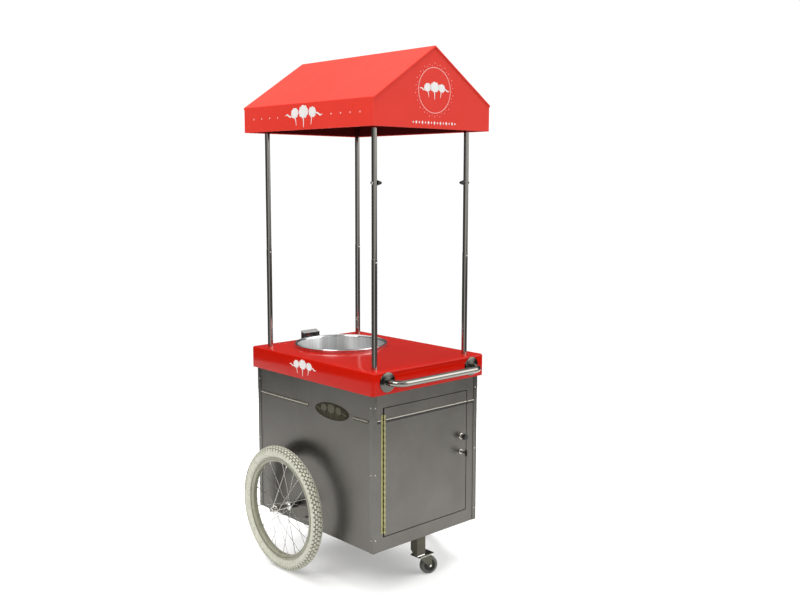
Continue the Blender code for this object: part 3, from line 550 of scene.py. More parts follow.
def ring_strip(bm, radius, width, plane):
    """Adds a thin printed ring."""
    origin, across, up, lift = plane
    out = across.cross(up).normalized()
    inner, outer = radius - width, radius + width
    rings = []
    for r, depth in ((inner, PRINT_SINK), (outer, PRINT_SINK), (outer, lift), (inner, lift)):
        rings.append([bm.verts.new(origin + across * (r * math.cos(a)) + up * (r * math.sin(a)) + out * depth)
                      for a in circle(72)])
    for here, there in zip(rings, rings[1:] + rings[:1]):
        bridge(bm, here, there)


def dot(bm, x, y, r, plane, sides=16):
    plot(bm, [(x + r * math.cos(a), y + r * math.sin(a)) for a in circle(sides)], plane)


def floss(bm, size, plane, x=0.0, lean=0.0):
    """A puff of floss on a stick, size tall."""
    c, s = math.cos(lean), math.sin(lean)
    puff = [(px, py + 0.18 * size) for px, py in puff_outline(0.30 * size, 0.24 * size)]
    taper = ((-0.035, -0.12), (-0.014, -0.5), (0.014, -0.5), (0.035, -0.12))
    stick = [(px * size, py * size) for px, py in taper]
    for points in (puff, stick):
        plot(bm, [(x + c * px - s * py, s * px + c * py) for px, py in points], plane)


def wave(bm, length, tall, width, plane, y):
    """A plain ribbon that swells and thins along one wave."""
    steps, top, low = 28, [], []
    for i in range(steps + 1):
        t = i / steps
        x = (t - 0.5) * length
        middle = y + tall * math.sin(TAU * t)
        half = width * (0.15 + math.sin(math.pi * t))
        top.append((x, middle + half))
        low.append((x, middle - half))
    plot(bm, top + low[::-1], plane)


def trio(bm, wide, tall, plane):
    """Three puffs with a ribbon on each side, inside a zone wide by tall."""
    origin, across, *rest = plane
    floss(bm, tall, plane)
    for flip in (-1, 1):
        floss(bm, 0.80 * tall, plane, x=flip * 0.23 * wide, lean=-flip * 0.20)
        beside = (origin + across * (flip * 0.41 * wide), across, *rest)
        wave(bm, 0.20 * wide, 0.05 * tall, 0.035 * tall, beside, 0.04 * tall)


# ---------------------------- road wheels

# each row: degrees from the crown, half the block's degrees, half its length, and its shift round the wheel
TREAD_ROWS = ((11.5, 9.8, 0.0076, 0.0), (34.5, 9.8, 0.0072, 0.5), (61.0, 12.5, 0.0064, 0.0))


def on_wheel(title, name, bm, slot, look=None, **more):
    """A piece that turns with a road wheel."""
    piece(title, bm, f"wheel_{name}", slot, look, at=WHEEL[name], **more)


def torus_point(turn, angle, r):
    """Point on the tyre: turn is round the wheel, angle across the tread."""
    radial = CROWN_R + r * math.cos(angle)
    return Vector((r * math.sin(angle), radial * math.cos(turn), radial * math.sin(turn)))


def tread_block(bm, turn, angle, half_turn, half_angle):
    rings = []
    for r, size in ((SECTION_R - 0.001, 1.0), (SECTION_R + KNOB_H, 0.84)):
        corners = ((-1, -1), (1, -1), (1, 1), (-1, 1))
        rings.append([bm.verts.new(torus_point(turn + i * half_turn * size, angle + j * half_angle * size, r))
                      for i, j in corners])
    bm.faces.new(rings[0])
    bm.faces.new(rings[1][::-1])
    bridge(bm, *rings)


def tyre(name):
    """Carcass with side ribs, and rows of tread blocks."""
    side = []
    for degrees in range(122, -1, -4):
        bulge = 0.0007 if 82 <= degrees <= 90 else (-0.0005 if 94 <= degrees <= 102 else 0.0)
        a = math.radians(degrees)
        side.append((CROWN_R + (SECTION_R + bulge) * math.cos(a), (SECTION_R + bulge) * math.sin(a)))
    bead = [(0.2046, 0.0100), (0.2046, 0.0122), (0.2095, 0.0126)]
    inner = arc((CROWN_R, 0), SECTION_R - 0.003, 0, 120, 8)
    half = bead + side
    bm = lathe(half + mirrored(half[:-1]) + mirrored(inner) + inner[1:], 144, "X")
    for degrees, half_degrees, half_length, offset in TREAD_ROWS:
        angle, half_angle = math.radians(degrees), math.radians(half_degrees)
        half_turn = half_length / (CROWN_R + SECTION_R * math.cos(angle))
        for sign, shift in ((-1, 0.0), (1, 0.25)):
            for k in range(TREAD_COUNT):
                tread_block(bm, TAU * (k + offset + shift) / TREAD_COUNT, sign * angle, half_turn, half_angle)
    on_wheel(f"tyre_{name}_rubber", name, bm, "ivory_tyre", replaces=[f"tyre_{name}"], sharp=28)


def wheel_rim(name):
    """Box-section rim with rolled edges."""
    outer = [(0.1915, 0.0), (0.1915, 0.0080), (0.1935, 0.0102), (0.1990, 0.0142), (0.2030, 0.0157),
             (0.2075, 0.0160), (0.2086, 0.0153), (0.2086, 0.0143)]
    inner = [(0.2060, 0.0140), (0.2030, 0.0128), (0.1985, 0.0085), (0.1965, 0.0)]
    bm = lathe(outer + inner + mirrored(inner[:-1]) + mirrored(outer[1:]), 144, "X")
    # the rim's dark grey ivory is painted shade
    on_wheel(f"rim_{name}_painted", name, bm, "ivory_rim", replaces=[f"rim_{name}"], sharp=30)


def rim_lines(name):
    """Dark line near each bead."""
    bm = bmesh.new()
    for sign in (-1, 1):
        strip = [(0.2002, 0.01500), (0.2016, 0.01555), (0.2014, 0.01600), (0.2000, 0.01545)]
        revolve(bm, [(r, sign * h) for r, h in strip], 144, "X")
    on_wheel(f"rim_{name}_line", name, bm, "black_bush", "pin_line")


def hub(name):
    """Hub shell with two flanges."""
    half = [(0.0064, 0.0417), (0.0088, 0.0417), (0.0092, 0.0400), (0.0092, 0.0372), (0.0120, 0.0360),
            (0.0172, 0.0353), (0.0178, 0.0343), (0.0178, 0.0329), (0.0170, 0.0320), (0.0115, 0.0312),
            (0.0088, 0.0280), (0.0078, 0.0200), (0.0076, 0.0)]
    bm = lathe(half + mirrored(half[:-1]), 48, "X")
    on_wheel(f"hub_{name}_shell", name, bm, "hub_metal", replaces=[f"hub_spokes_{name}"], sharp=40)


def spokes(name):
    """Laced spokes: on each flange they leave by turns forwards and backwards."""
    wires, nipples = bmesh.new(), bmesh.new()
    hole_r, nipple_r, lacing = 0.0150, 0.1917, 1.25
    for i, turn in enumerate(circle(SPOKES)):
        side = 1 if i % 2 else -1
        lean = 1 if i % 4 < 2 else -1
        hole = turn - lean * lacing
        start = Vector((side * (0.0336 + 0.0012 * lean), hole_r * math.cos(hole), hole_r * math.sin(hole)))
        out = Vector((0, math.cos(turn), math.sin(turn)))
        end = out * nipple_r + Vector((side * 0.0035, 0, 0))
        bar(wires, start, end, 0.0011, 8)
        along = (start - end).normalized()
        bar(nipples, end - along * 0.001, end + along * 0.011, 0.0021, 8)
        head = start + Vector((side * 0.0006 * lean, 0, 0))
        bar(wires, head, head + Vector((side * lean * 0.0012, 0, 0)), 0.0015, 8)
    on_wheel(f"spokes_{name}", name, wires, "hub_metal", "wire")
    on_wheel(f"spoke_nipples_{name}", name, nipples, "hub_metal", bevel=0.0004, segments=1)


def valve(name):
    """Valve stem and cap, standing in from the rim."""
    turn = math.radians(178) if name == "left" else math.radians(20)
    out = Vector((0, math.cos(turn), math.sin(turn)))
    stem, cap = bmesh.new(), bmesh.new()
    bar(stem, out * 0.1940, out * 0.1720, 0.0030, 16)
    bar(cap, out * 0.1780, out * 0.1600, 0.0042, 16)
    on_wheel(f"valve_{name}_stem", name, stem, "hub_metal")
    on_wheel(f"valve_{name}_cap", name, cap, "black_knob", bevel=0.0008)


def axle():
    """Axle with a washer and a nut on each side."""
    middle = Vector((0, WHEEL["left"].y, WHEEL["left"].z))
    reach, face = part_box("axle")[1].x, 0.3974
    rod, nuts = bmesh.new(), bmesh.new()
    bar(rod, Vector((-reach, 0, 0)), Vector((reach, 0, 0)), 0.0058, 32)
    for sign in (-1, 1):
        for sides, bore, r, near, far in ((32, 0.006, 0.0118, 0.0, 0.0016),
                                          (6, 0.0055, 0.0098, 0.0018, 0.0095)):
            low, high = sorted((sign * (face + near), sign * (face + far)))
            revolve(nuts, [(bore, low), (r, low), (r, high), (bore, high)], sides, "X")
    piece("axle_rod", rod, "cart", "hub_metal", at=middle, replaces=["axle"], bevel=0.001)
    piece("axle_nuts", nuts, "cart", "hub_metal", at=middle, bevel=0.0009)


for wheel_name in SIDES:
    for make in (tyre, wheel_rim, rim_lines, hub, spokes, valve):
        make(wheel_name)
axle()


# ---------------------------- worktop, bowl

TOP_LOW, TOP_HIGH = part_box("worktop")
BOWL = centre_of("bowl")
POSTS = {f"{end}_{name}": centre_of(f"post_{end}_{name}") for end in ("front", "rear") for name in SIDES}
POST_R = (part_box("post_front_left")[1].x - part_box("post_front_left")[0].x) / 2


def worktop():
    """Hollow moulding with rounded edges, open for the bowl and the posts."""
    bm = bmesh.new()
    add_box(bm, *zip(TOP_LOW, TOP_HIGH))

    def round_over(edges, offset, segments):
        bmesh.ops.bevel(bm, geom=edges, offset=offset, segments=segments, affect="EDGES", profile=0.5)

    def edges_at(z):
        return [e for e in bm.edges if all(abs(v.co.z - z) < 1e-6 for v in e.verts)]

    round_over([e for e in bm.edges if abs(e.verts[0].co.z - e.verts[1].co.z) > 0.01], 0.011, 8)
    round_over(edges_at(TOP_HIGH.z), 0.0075, 6)
    round_over(edges_at(TOP_LOW.z), 0.0018, 2)
    made = piece("worktop_shell", bm, "cart", "red_moulding", replaces=["worktop"], sharp=50)
    wall, bowl_r = 0.005, 0.1885
    hollow = bmesh.new()
    add_box(hollow, (TOP_LOW.x + wall, TOP_HIGH.x - wall), (TOP_LOW.y + wall, TOP_HIGH.y - wall),
            (TOP_LOW.z - 0.01, TOP_HIGH.z - wall))
    subtract(made, hollow)
    holes = bmesh.new()
    below, above = 0.84, 0.90
    openings = [(0, BOWL.y, bowl_r, 96)] + [(at.x, at.y, POST_R + 0.0003, 48) for at in POSTS.values()]
    for x, y, r, sides in openings:
        revolve(holes, [(0, below), (r, below), (r, above), (0, above)], sides, centre=(x, y, 0))
    subtract(made, holes)


def bowl():
    """Spun bowl with a rolled rim over the worktop and a short neck round the spinner's shaft."""
    low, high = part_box("bowl")
    rim, outer = high.z, (high.x - low.x) / 2
    floor, wall, sheet = low.z + 0.002, 0.186, 0.0018
    inner = arc((wall - sheet - 0.024, floor + 0.024), 0.024, -90, 0, 8)
    under = arc((wall - 0.026, floor - sheet + 0.026), 0.026, 0, -90, 8)
    roll = arc((outer - 0.0048, rim - 0.0048), 0.0048, 135, -20, 12)
    profile = [(0.0145, floor - sheet), (0.0145, floor + 0.017), (0.0150, floor + 0.018),
               (0.0165, floor + 0.017), (0.0168, floor + 0.001), (0.018, floor), *inner,
               (wall - sheet, rim - 0.010), (wall - 0.0008, rim - 0.0045), (wall + 0.002, rim - 0.0016),
               *roll, (outer - 0.0018, TOP_HIGH.z + 0.0004), (wall + 0.0005, TOP_HIGH.z + 0.0004),
               (wall, TOP_HIGH.z - 0.004), *under]
    bm = lathe([(r, z - BOWL.z) for r, z in profile], 144)
    piece("bowl_spun", bm, "cart", "spun_bowl", at=BOWL, replaces=["bowl"], sharp=40)


worktop()
bowl()


# ---------------------------- posts and push handle

SEAM_Z, CROSS_BOLT_Z = 1.290, 1.568


def post(key, at):
    """Thin tube, slimmer above its seam, with a spring button below the seam."""
    low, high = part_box(f"post_{key}")
    r, wall = POST_R, 0.0015
    slim = r - 0.0007
    profile = [(r - wall, low.z), (r, low.z), (r, SEAM_Z - 0.0006), (r - 0.0004, SEAM_Z),
               (slim, SEAM_Z + 0.0002), (slim, high.z), (slim - wall, high.z), (slim - wall, SEAM_Z)]
    made = piece(f"post_{key}_tube", lathe(profile, 64), "cart", "polished_tube", "post",
                 at=Vector((at.x, at.y, 0)), replaces=[f"post_{key}"], sharp=30)
    if key.startswith("front"):
        hole = bmesh.new()
        bar(hole, Vector((-0.02, 0, CROSS_BOLT_Z)), Vector((0.02, 0, CROSS_BOLT_Z)), 0.0033, 24)
        subtract(made, hole)
    button = lathe([(0, 0.0018), (0.0014, 0.0016), (0.0026, 0.0008), (0.0032, 0.0), (0.0032, -0.001),
                    (0, -0.001)], 24, "Y")
    piece(f"post_{key}_button", button, "cart", "hub_metal", at=(at.x, at.y - r, SEAM_Z - 0.012),
          turn=(math.pi, 0, 0))


def push_handle():
    """Bent tube with a turned rose where each end meets the worktop."""
    low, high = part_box("push_handle")
    face = TOP_LOW.y
    z, r = (low.z + high.z) / 2, 0.0125
    reach, bend = face - low.y - r, 0.045
    x = (high.x - low.x) / 2 - 0.038
    curve = arc((-x + bend, -reach + bend), bend, 180, 270, 18)
    left = [Vector((-x, -0.004, 0))] + [Vector((px, py, 0)) for px, py in curve]
    straight = [Vector((-x + bend + (2 * x - 2 * bend) * i / 12, -reach, 0)) for i in range(1, 12)]
    tube = sweep(bmesh.new(), left + straight + [Vector((-p.x, p.y, 0)) for p in reversed(left)], r, 48)
    at = Vector((0, face, z))
    piece("push_handle_tube", tube, "cart", "polished_tube", at=at, replaces=["push_handle"], sharp=30)
    roses = bmesh.new()
    profile = [(0, -0.0004), (0.0378, -0.0004), (0.0380, -0.0016), (0.0374, -0.0028), (0.0350, -0.0036),
               (0.0290, -0.0046), (0.0200, -0.0058), (0.0150, -0.0066), (0.0132, -0.0068),
               (0.0128, -0.0060), (0, -0.0060)]
    for sign in (-1, 1):
        revolve(roses, profile, 64, "Y", centre=(sign * x, 0, 0))
    # the roses' darker metal is a painted dark reflection
    piece("push_handle_roses", roses, "cart", "polished_tube", "rose", at=at, sharp=40)


for post_key, post_at in POSTS.items():
    post(post_key, post_at)
push_handle()


# ---------------------------- canopy

ROOF_LOW, ROOF_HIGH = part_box("canopy")
EAVE_Z, GABLE_INSET = 1.869, 0.0045
PITCH = math.atan2(ROOF_HIGH.z - EAVE_Z, ROOF_HIGH.x)


def house(half, base, eave, ridge):
    """Outline of a gabled end."""
    return [(-half, base), (half, base), (half, eave), (0, ridge), (-half, eave)]


def canopy():
    """Rigid skin, hollow and open below, with each gable set in a little from the roof's end."""
    half, base, ridge = ROOF_HIGH.x, ROOF_LOW.z, ROOF_HIGH.z
    y0, y1 = ROOF_LOW.y, ROOF_HIGH.y
    drop, wall, over = 0.0065 / math.cos(PITCH), 0.005, 0.01
    made = piece("canopy_skin", add_prism(bmesh.new(), house(half, base, EAVE_Z, ridge), y0, y1),
                 "cart", "red_canopy", replaces=["canopy"])
    inner = house(half - wall, base - over, EAVE_Z - drop + wall * math.tan(PITCH), ridge - drop)
    subtract(made, add_prism(bmesh.new(), inner, y0 + GABLE_INSET + wall, y1 - GABLE_INSET - wall))
    gable = house(half + over, base - over, EAVE_Z - drop - over * math.tan(PITCH), ridge - drop)
    for low, high in ((y0 - over, y0 + GABLE_INSET), (y1 - GABLE_INSET, y1 + over)):
        subtract(made, add_prism(bmesh.new(), gable, low, high))
    soften(made, 0.0022, 3, 20)


def canopy_print():
    """Plain printed motifs: dots and a pictogram on the long sides, a ring and a pictogram on the gables."""
    middle = (ROOF_LOW.y + ROOF_HIGH.y) / 2
    side_z, gable_z, row, half_row = 1.820, 1.908, -0.119, 7
    white, faint = bmesh.new(), bmesh.new()
    for sign in (-1, 1):
        side = (Vector((sign * ROOF_HIGH.x, middle, side_z)), Vector((0, sign, 0)), UP, PRINT_LIFT)
        for y in (0.168, 0.223, 0.278, 0.333):
            for flip in (-1, 1):
                dot(faint, flip * y, 0.0, 0.0032, side)
        trio(white, 0.230, 0.086, side)
        end_y = ROOF_LOW.y + GABLE_INSET if sign < 0 else ROOF_HIGH.y - GABLE_INSET
        gable = (Vector((0, end_y, gable_z)), Vector((-sign, 0, 0)), UP, PRINT_LIFT)
        ring_strip(faint, 0.083, 0.0011, gable)
        trio(white, 0.152, 0.066, gable)
        for k, a in enumerate(circle(44)):
            reach = (0.0905, 0.0965, 0.0925, 0.0990)[k % 4]
            dot(faint, reach * math.cos(a), reach * math.sin(a), (0.0012, 0.0016)[k % 2], gable, 10)
        for k in range(2 * half_row + 1):
            x, half = (k - half_row) * 0.0156, 0.0068 if k % 2 else 0.0048
            diamond = [(x - half * 0.7, row), (x, row - half), (x + half * 0.7, row), (x, row + half)]
            plot(white, diamond, gable)
    piece("canopy_dots", faint, "cart", "red_canopy", "faint_print", sharp=60)
    piece("canopy_print", white, "cart", "red_canopy", "white_print", sharp=60)


def canopy_shade_lining():
    """Dark red lining under the roof and behind the skirt; its darkness is painted shade."""
    y0, y1 = ROOF_LOW.y + 0.012, ROOF_HIGH.y - 0.012
    drop, gap, thin = 0.0078 / math.cos(PITCH), 0.0062, 0.0012
    x, ridge = ROOF_HIGH.x - gap, ROOF_HIGH.z - drop
    eave = EAVE_Z - drop + gap * math.tan(PITCH)
    outline = [(-x, eave), (0, ridge), (x, eave), (x - 0.001, eave - thin), (0, ridge - thin),
               (-x + 0.001, eave - thin)]
    bm = add_prism(bmesh.new(), outline, y0, y1)
    skirt = (ROOF_LOW.z + 0.004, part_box("canopy_frame")[0].z - 0.001)
    for sign, wall in ((-1, y0), (1, y1)):
        add_box(bm, sorted((sign * (x + 0.0006), sign * (x - 0.0004))), (y0, y1), skirt)
        add_box(bm, (-x, x), sorted((wall, wall - sign * 0.001)), skirt)
    piece("canopy_shade_lining", bm, "cart", "ply_red")


def worktop_print():
    bm = bmesh.new()
    y, z = 0.034 + (TOP_LOW.y + TOP_HIGH.y) / 2, (TOP_LOW.z + TOP_HIGH.z) / 2 + 0.003
    for sign in (-1, 1):
        plane = (Vector((sign * TOP_HIGH.x, y, z)), Vector((0, sign, 0)), UP, PRINT_LIFT)
        trio(bm, 0.172, 0.068, plane)
    piece("worktop_print", bm, "cart", "red_moulding", "white_print", sharp=60)


canopy()
canopy_print()
canopy_shade_lining()
worktop_print()


# ---------------------------- cabinet trim

def dome(bm, at, axis, sign, radius, tall, sides=20):
    """Adds a shallow round head that stands out along an axis."""
    profile = [(0, tall), (radius * 0.45, tall * 0.92), (radius * 0.8, tall * 0.6), (radius, 0.0002),
               (radius, -0.0003), (0, -0.0003)]
    revolve(bm, [(r, sign * h) for r, h in profile], sides, axis, centre=at)


def rivets():
    bm = bmesh.new()
    for end in ("front", "rear"):
        for name, sign in SIDES.items():
            low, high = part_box(f"corner_trim_{end}_{name}")
            face_x = high.x if sign > 0 else low.x
            face_y = low.y if end == "front" else high.y
            out_y = -1 if end == "front" else 1
            for z in (0.741, 0.485, 0.231):
                dome(bm, (face_x, face_y - out_y * 0.0125, z), "X", sign, 0.0027, 0.0012)
                dome(bm, (face_x - sign * 0.0115, face_y, z), "Y", out_y, 0.0027, 0.0012)
    piece("corner_rivets", bm, "cart", "plated_steel", sharp=50)


def half_round(bm, start, end, height, proud, out, round_ends=(False, False)):
    """Adds a half-round strip between two points, standing out."""
    along = (end - start).normalized()
    up = along.cross(out).normalized()
    half, steps = height / 2, 14
    turns = [math.pi / 2 * k / 5 for k in range(1, 5)]
    stations = [(start + along * (half * round_ends[0]), 1.0), (end - along * (half * round_ends[1]), 1.0)]
    if round_ends[0]:
        stations[:0] = [(start + along * (half * (1 - math.cos(a))), math.sin(a)) for a in turns]
    if round_ends[1]:
        stations += [(end - along * (half * (1 - math.cos(a))), math.sin(a)) for a in reversed(turns)]
    rings = []
    for at, scale in stations:
        wide, deep = half * scale, proud * scale
        rings.append([bm.verts.new(at + up * (wide * math.cos(a)) + out * (deep * math.sin(a)))
                      for a in (math.pi * k / steps for k in range(steps + 1))])
    for here, there in zip(rings, rings[1:]):
        bridge(bm, here, there)
    bm.faces.new(rings[0])
    bm.faces.new(rings[-1][::-1])


def side_beads():
    """Strip before and behind the badge, round at the end next to it, with a dark strip under it as painted
    shadow.
    """
    for name, sign in SIDES.items():
        for end in ("front", "rear"):
            title = f"side_bead_{end}_{name}"
            low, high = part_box(title)
            x = low.x if sign > 0 else high.x
            z = (low.z + high.z) / 2 + 0.0018
            bm = bmesh.new()
            half_round(bm, Vector((x, low.y, z)), Vector((x, high.y, z)), high.z - low.z - 0.0036,
                       high.x - low.x, Vector((sign, 0, 0)), (end == "rear", end == "front"))
            piece(f"{title}_moulding", bm, "cart", "bright_trim", replaces=[title], sharp=50)
            # dark olive strip under the bead: painted shadow
            bm = bmesh.new()
            add_box(bm, sorted((x, x + sign * 0.0008)), (low.y + 0.002, high.y - 0.002),
                    (low.z - 0.0020, low.z + 0.0042))
            piece(f"{title}_seal", bm, "cart", "black_bush", "olive_seal")


def door_beads():
    """Strip across the door with a black strip under it as painted shadow, which swing with it, and their short
    ends on the frame.
    """
    low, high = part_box("door_strip")
    y, z, tall = high.y, (low.z + high.z) / 2 + 0.0035, high.z - low.z - 0.007
    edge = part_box("corner_trim_front_right")[0].x - 0.0004
    on_frame = ((-edge, -0.2435), (0.2255, edge))
    for body, bead_name, shadow_strip_name, replaced, runs in (
            ("door", "door_bead_moulding", "door_bead_shadow_strip", ["door_strip"], [(low.x, high.x)]),
            ("cart", "door_frame_beads", "door_frame_shadow_strips", [], on_frame)):
        bead, shadow_strip = bmesh.new(), bmesh.new()
        for x0, x1 in runs:
            half_round(bead, Vector((x0, y, z)), Vector((x1, y, z)), tall, high.y - low.y, Vector((0, -1, 0)))
            # black strip under the bead: painted shadow
            add_box(shadow_strip, (x0, x1), (y - 0.0008, y), (low.z - 0.0026, low.z + 0.0072))
        piece(bead_name, bead, body, "bright_trim", replaces=replaced, sharp=50)
        piece(shadow_strip_name, shadow_strip, body, "black_bush")


def badge(name, sign):
    """Oval cast badge with a raised border and a plain pictogram."""
    low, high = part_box(f"side_emblem_{name}")
    middle = (low + high) / 2
    half_y, half_z = (high.y - low.y) / 2, (high.z - low.z) / 2
    across, out = Vector((0, sign, 0)), Vector((sign, 0, 0))
    origin = Vector((low.x if sign > 0 else high.x, middle.y, middle.z))
    face = 0.0022
    bm = bmesh.new()
    rings = []
    for scale, depth in ((1.0, 0.0), (1.0, face), (0.975, 0.0036), (0.94, 0.0042), (0.90, 0.0040),
                         (0.885, 0.0026), (0.87, face)):
        rings.append([bm.verts.new(origin + across * (half_y - half_z * (1 - scale)) * math.cos(a)
                                   + UP * (half_z * scale) * math.sin(a) + out * depth) for a in circle(96)])
    for here, there in zip(rings, rings[1:]):
        bridge(bm, here, there)
    bm.faces.new(rings[0][::-1])
    bm.faces.new(rings[-1])
    piece(f"badge_{name}_plate", bm, "cart", "dark_badge", replaces=[f"side_emblem_{name}"], sharp=40)
    relief = bmesh.new()
    trio(relief, 0.188, 0.066, (origin + out * face, across, UP, 0.0014))
    piece(f"badge_{name}_relief", relief, "cart", "dark_badge", "bronze", bevel=0.0004)


def hinge():
    """Piano hinge: knuckles by turns on the frame and on the door, a leaf on each, and the frame's screws."""
    low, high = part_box("hinge_leaf_frame")
    axis = Vector(JOINTS["door_hinge"]["pos_m"])
    face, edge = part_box("door_frame")[0].y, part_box("door_panel")[0].x
    knuckles, screw_count = 41, 10
    pitch = (high.z - low.z) / knuckles
    on_frame = (face - 0.0010, face - 0.0001)
    fixed, swinging, screws = bmesh.new(), bmesh.new(), bmesh.new()
    for k in range(knuckles):
        z0, z1 = low.z + k * pitch + 0.0005, low.z + (k + 1) * pitch - 0.0005
        held = k % 2 == 0
        r = 0.0039 if held else 0.0031
        profile = [(0, z0), (r - 0.0004, z0), (r, z0 + 0.0004), (r, z1 - 0.0004), (r - 0.0004, z1), (0, z1)]
        revolve(fixed if held else swinging, profile, 16, centre=(axis.x, axis.y, 0))
        if held:
            add_box(fixed, (axis.x - 0.0058, axis.x), on_frame, (z0, z1))
        else:
            add_box(swinging, (axis.x + 0.0004, edge - 0.0002), (axis.y, axis.y + 0.0010), (z0, z1))
    add_box(fixed, (axis.x - 0.0125, axis.x - 0.0056), on_frame, (low.z, high.z))
    add_box(swinging, (edge - 0.0012, edge - 0.0002), (axis.y, axis.y + 0.0130), (low.z, high.z))
    for k in range(screw_count):
        z = low.z + (k + 0.5) * (high.z - low.z) / screw_count
        dome(screws, (axis.x - 0.0092, face - 0.0010, z), "Y", -1, 0.0021, 0.0006, 16)
    piece("hinge_frame_half", fixed, "cart", "brass_hinge", replaces=["hinge_leaf_frame"], bevel=0.0002,
          segments=1)
    piece("hinge_screws", screws, "cart", "brass_hinge")
    # the door half is a darker copy of the hinge brass: painted shade
    piece("hinge_door_half", swinging, "door", "brass_hinge", "dull_brass", replaces=["hinge_leaf_door"],
          bevel=0.0002, segments=1)


def latch_stem():
    """Bright stem and collar under the latch's black end."""
    turn = JOINTS["door_latch_turn"]["pos_m"]
    at = Vector((turn[0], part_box("door_panel")[0].y, turn[2]))
    stem = [(0.0080, -0.0004), (0.0122, -0.0004), (0.0122, -0.0022), (0.0098, -0.0034), (0.0091, -0.0050),
            (0.0091, -0.0155), (0.0104, -0.0168), (0.0080, -0.0168)]
    piece("latch_stem", lathe(stem, 40, "Y"), "door_latch", "plated_steel", at=at)


def hood_front():
    """Black fascia round the control panel, and a thin black plate down each side of the control box as painted
    shade on its sides.
    """
    low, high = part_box("control_panel")
    box_low, box_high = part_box("control_hood")
    base, top = TOP_HIGH.z + 0.001, box_high.z - 0.010
    bm = bmesh.new()
    for x0, x1, z0, z1 in ((box_low.x + 0.0010, low.x + 0.0030, base, top),
                           (high.x - 0.0030, box_high.x - 0.0010, base, top),
                           (low.x, high.x, base, low.z + 0.0002), (low.x, high.x, high.z - 0.0002, top)):
        add_box(bm, (x0, x1), (box_low.y - 0.0004, box_low.y + 0.0006), (z0, z1))
    # thin black plates on the box's sides: painted shade
    for x in (box_low.x, box_high.x):
        add_box(bm, (x - 0.0005, x + 0.0005), (box_low.y, box_high.y - 0.004), (base, top))
    piece("hood_front", bm, "cart", "black_panel")


rivets()
side_beads()
door_beads()
latch_stem()
hood_front()
hinge()
for badge_name, badge_sign in SIDES.items():
    badge(badge_name, badge_sign)


# ---------------------------- caster

CASTER = centre_of("caster_wheel")
CASTER_AXIS = Vector(JOINTS["caster_roller_spin"]["axis"])
CASTER_TURN = (0, 0, math.atan2(-CASTER_AXIS.x, CASTER_AXIS.y))
FORK_HALF = 0.0195


def caster():
    """Grey tyre on a dished centre."""
    half = 0.012
    tread = [(0.0245, -half + 0.0015), (0.0250, -half), (0.0325, -half), (0.0352, -half + 0.0018),
             (0.0363, -half + 0.005), (0.0365, -0.003)]
    core = [(0.0040, -half), (0.0105, -half), (0.0120, -half + 0.001), (0.0130, -half + 0.0045),
            (0.0215, -half + 0.0045), (0.0235, -half + 0.002), (0.0246, -half + 0.0015)]
    piece("caster_tyre_ring", lathe(tread + mirrored(tread), 72, "Y"), "caster_roller", "caster_tyre",
          at=CASTER, turn=CASTER_TURN, replaces=["caster_wheel"])
    piece("caster_centre", lathe(core + mirrored(core), 48, "Y"), "caster_roller", "caster_tyre",
          "caster_centre", at=CASTER, turn=CASTER_TURN)


def caster_nuts():
    """Bright nut on each side of the fork."""
    bm = bmesh.new()
    for sign in (-1, 1):
        dome(bm, (0, sign * FORK_HALF, 0), "Y", sign, 0.0054, 0.0034, 24)
    piece("caster_nuts", bm, "caster_swivel", "plated_steel", "hub_metal", at=CASTER, turn=CASTER_TURN,
          sharp=50)


def foot_weld():
    """Bright ground weld along the foot of the leg."""
    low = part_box("caster_leg")[0]
    front, foot = low.y + 0.0078, low.z + 0.004 + 0.0006
    bm = bmesh.new()
    bar(bm, Vector((-0.0215, front, foot)), Vector((0.0160, front, foot)), 0.0030, 12)
    piece("foot_weld", bm, "cart", "plated_steel", "hub_metal")


caster()
caster_nuts()
foot_weld()


# ---------------------------- studio and camera

# each soft light of the room seen in reflections: its way, where it starts and is full, and its gain
ROOM_LIGHT = 0.09
ROOM_LOBES = (((-0.68, -0.73, 0.0), 0.88, 1.0, 0.6), ((0.62, -0.66, 0.42), 0.84, 0.99, 3.4),
              ((0.0, 0.0, 1.0), 0.30, 0.95, 1.00), ((0, 0, -1), 0.1, 0.6, 0.4))


def pale_floor():
    made = new_object("floor", lathe([(0, 0.0), (3.3, 0.0), (3.3, -0.01), (0, -0.01)], 128))
    pale = shader("floor_look", Roughness=0.7, Specular_IOR_Level=0.1, Emission_Color=(1.0, 1.0, 1.0),
                  Emission_Strength=0.28)
    set_colour(pale, ramp(pale, noise(pale, 3.0, 3.0), (0.3, (0.70, 0.70, 0.70)), (0.7, (0.72, 0.72, 0.72))))
    made.data.materials.append(pale)


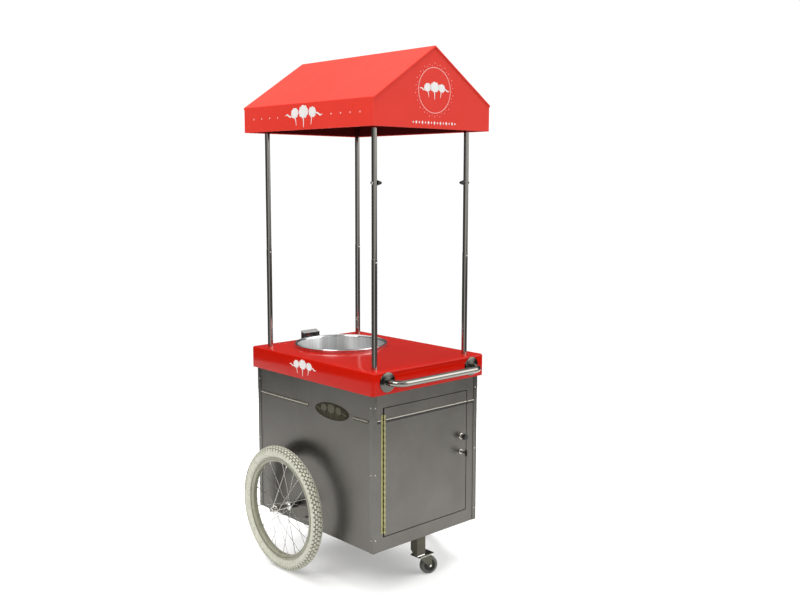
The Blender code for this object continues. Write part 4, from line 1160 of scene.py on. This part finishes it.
def room():
    """White backdrop for the camera, and a dim room with soft lobes of light for everything else."""
    world = bpy.data.worlds.new("studio")
    bpy.context.scene.world = world
    world.use_nodes = True
    world.node_tree.nodes.clear()
    place, total = node(world, "TexCoord"), ROOM_LIGHT
    for way, start, stop, gain in ROOM_LOBES:
        facing = node(world, "VectorMath", operation="DOT_PRODUCT")
        link(world, place.outputs["Generated"], facing.inputs[0])
        facing.inputs[1].default_value = way
        lobe = spread(world, facing.outputs["Value"], start, stop, 0.0, gain, interpolation_type="SMOOTHSTEP")
        total = maths(world, "ADD", lobe, total)
    seen, around, choose = node(world, "Background"), node(world, "Background"), node(world, "MixShader")
    seen.inputs["Color"].default_value = (1, 1, 1, 1)
    seen.inputs["Strength"].default_value = 1.05
    link(world, total, around.inputs["Color"])
    for source, socket in zip((node(world, "LightPath").outputs["Is Camera Ray"], around.outputs[0],
                               seen.outputs[0]), choose.inputs):
        link(world, source, socket)
    link(world, choose.outputs[0], node(world, "OutputWorld").inputs["Surface"])


def softbox(name, at, target, size, power, colour=(1, 1, 1), shiny=True):
    light = bpy.data.lights.new(name, "AREA")
    light.shape, light.size, light.size_y = "RECTANGLE", *size
    light.energy, light.color = power, colour
    made = bpy.data.objects.new(name, light)
    made.location = at
    made.rotation_euler = (Vector(target) - Vector(at)).to_track_quat("-Z", "Y").to_euler()
    made.visible_glossy = shiny
    bpy.context.scene.collection.objects.link(made)


def camera():
    """Standing eye height, to the left of the door end."""
    place = (-2.516, -2.905, 1.587)
    yaw, pitch, roll = math.radians(47.213), math.radians(7.391), math.radians(-0.144)
    ahead = Vector((math.cos(yaw) * math.cos(pitch), math.sin(yaw) * math.cos(pitch), -math.sin(pitch)))
    right = Vector((math.sin(yaw), -math.cos(yaw), 0))
    down = ahead.cross(right)
    turned_right = math.cos(roll) * right + math.sin(roll) * down
    turned_down = -math.sin(roll) * right + math.cos(roll) * down
    lens = bpy.data.cameras.new("camera")
    lens.lens, lens.sensor_width = 42.44, 36.0
    made = bpy.data.objects.new("camera", lens)
    rotation = Matrix((turned_right, -turned_down, -ahead)).transposed().to_4x4()
    made.matrix_world = Matrix.Translation(place) @ rotation
    bpy.context.scene.collection.objects.link(made)
    bpy.context.scene.camera = made


pale_floor()
room()
softbox("key", (-3.3, -0.9, 4.0), (0, 0, 1.2), (2.4, 2.2), 98, (1.0, 0.985, 0.96))
softbox("front", (-0.1, -4.2, 1.9), (0, 0, 0.8), (2.0, 2.0), 8)
softbox("behind", (2.3, 2.6, 2.3), (0, 0, 0.85), (1.6, 1.2), 140, shiny=False)
softbox("overhead", (-0.2, 0.2, 4.4), (0, 0, 0), (3.0, 3.0), 120, shiny=False)
view = bpy.context.scene.view_settings
view.view_transform, view.look = "Standard", "None"
camera()
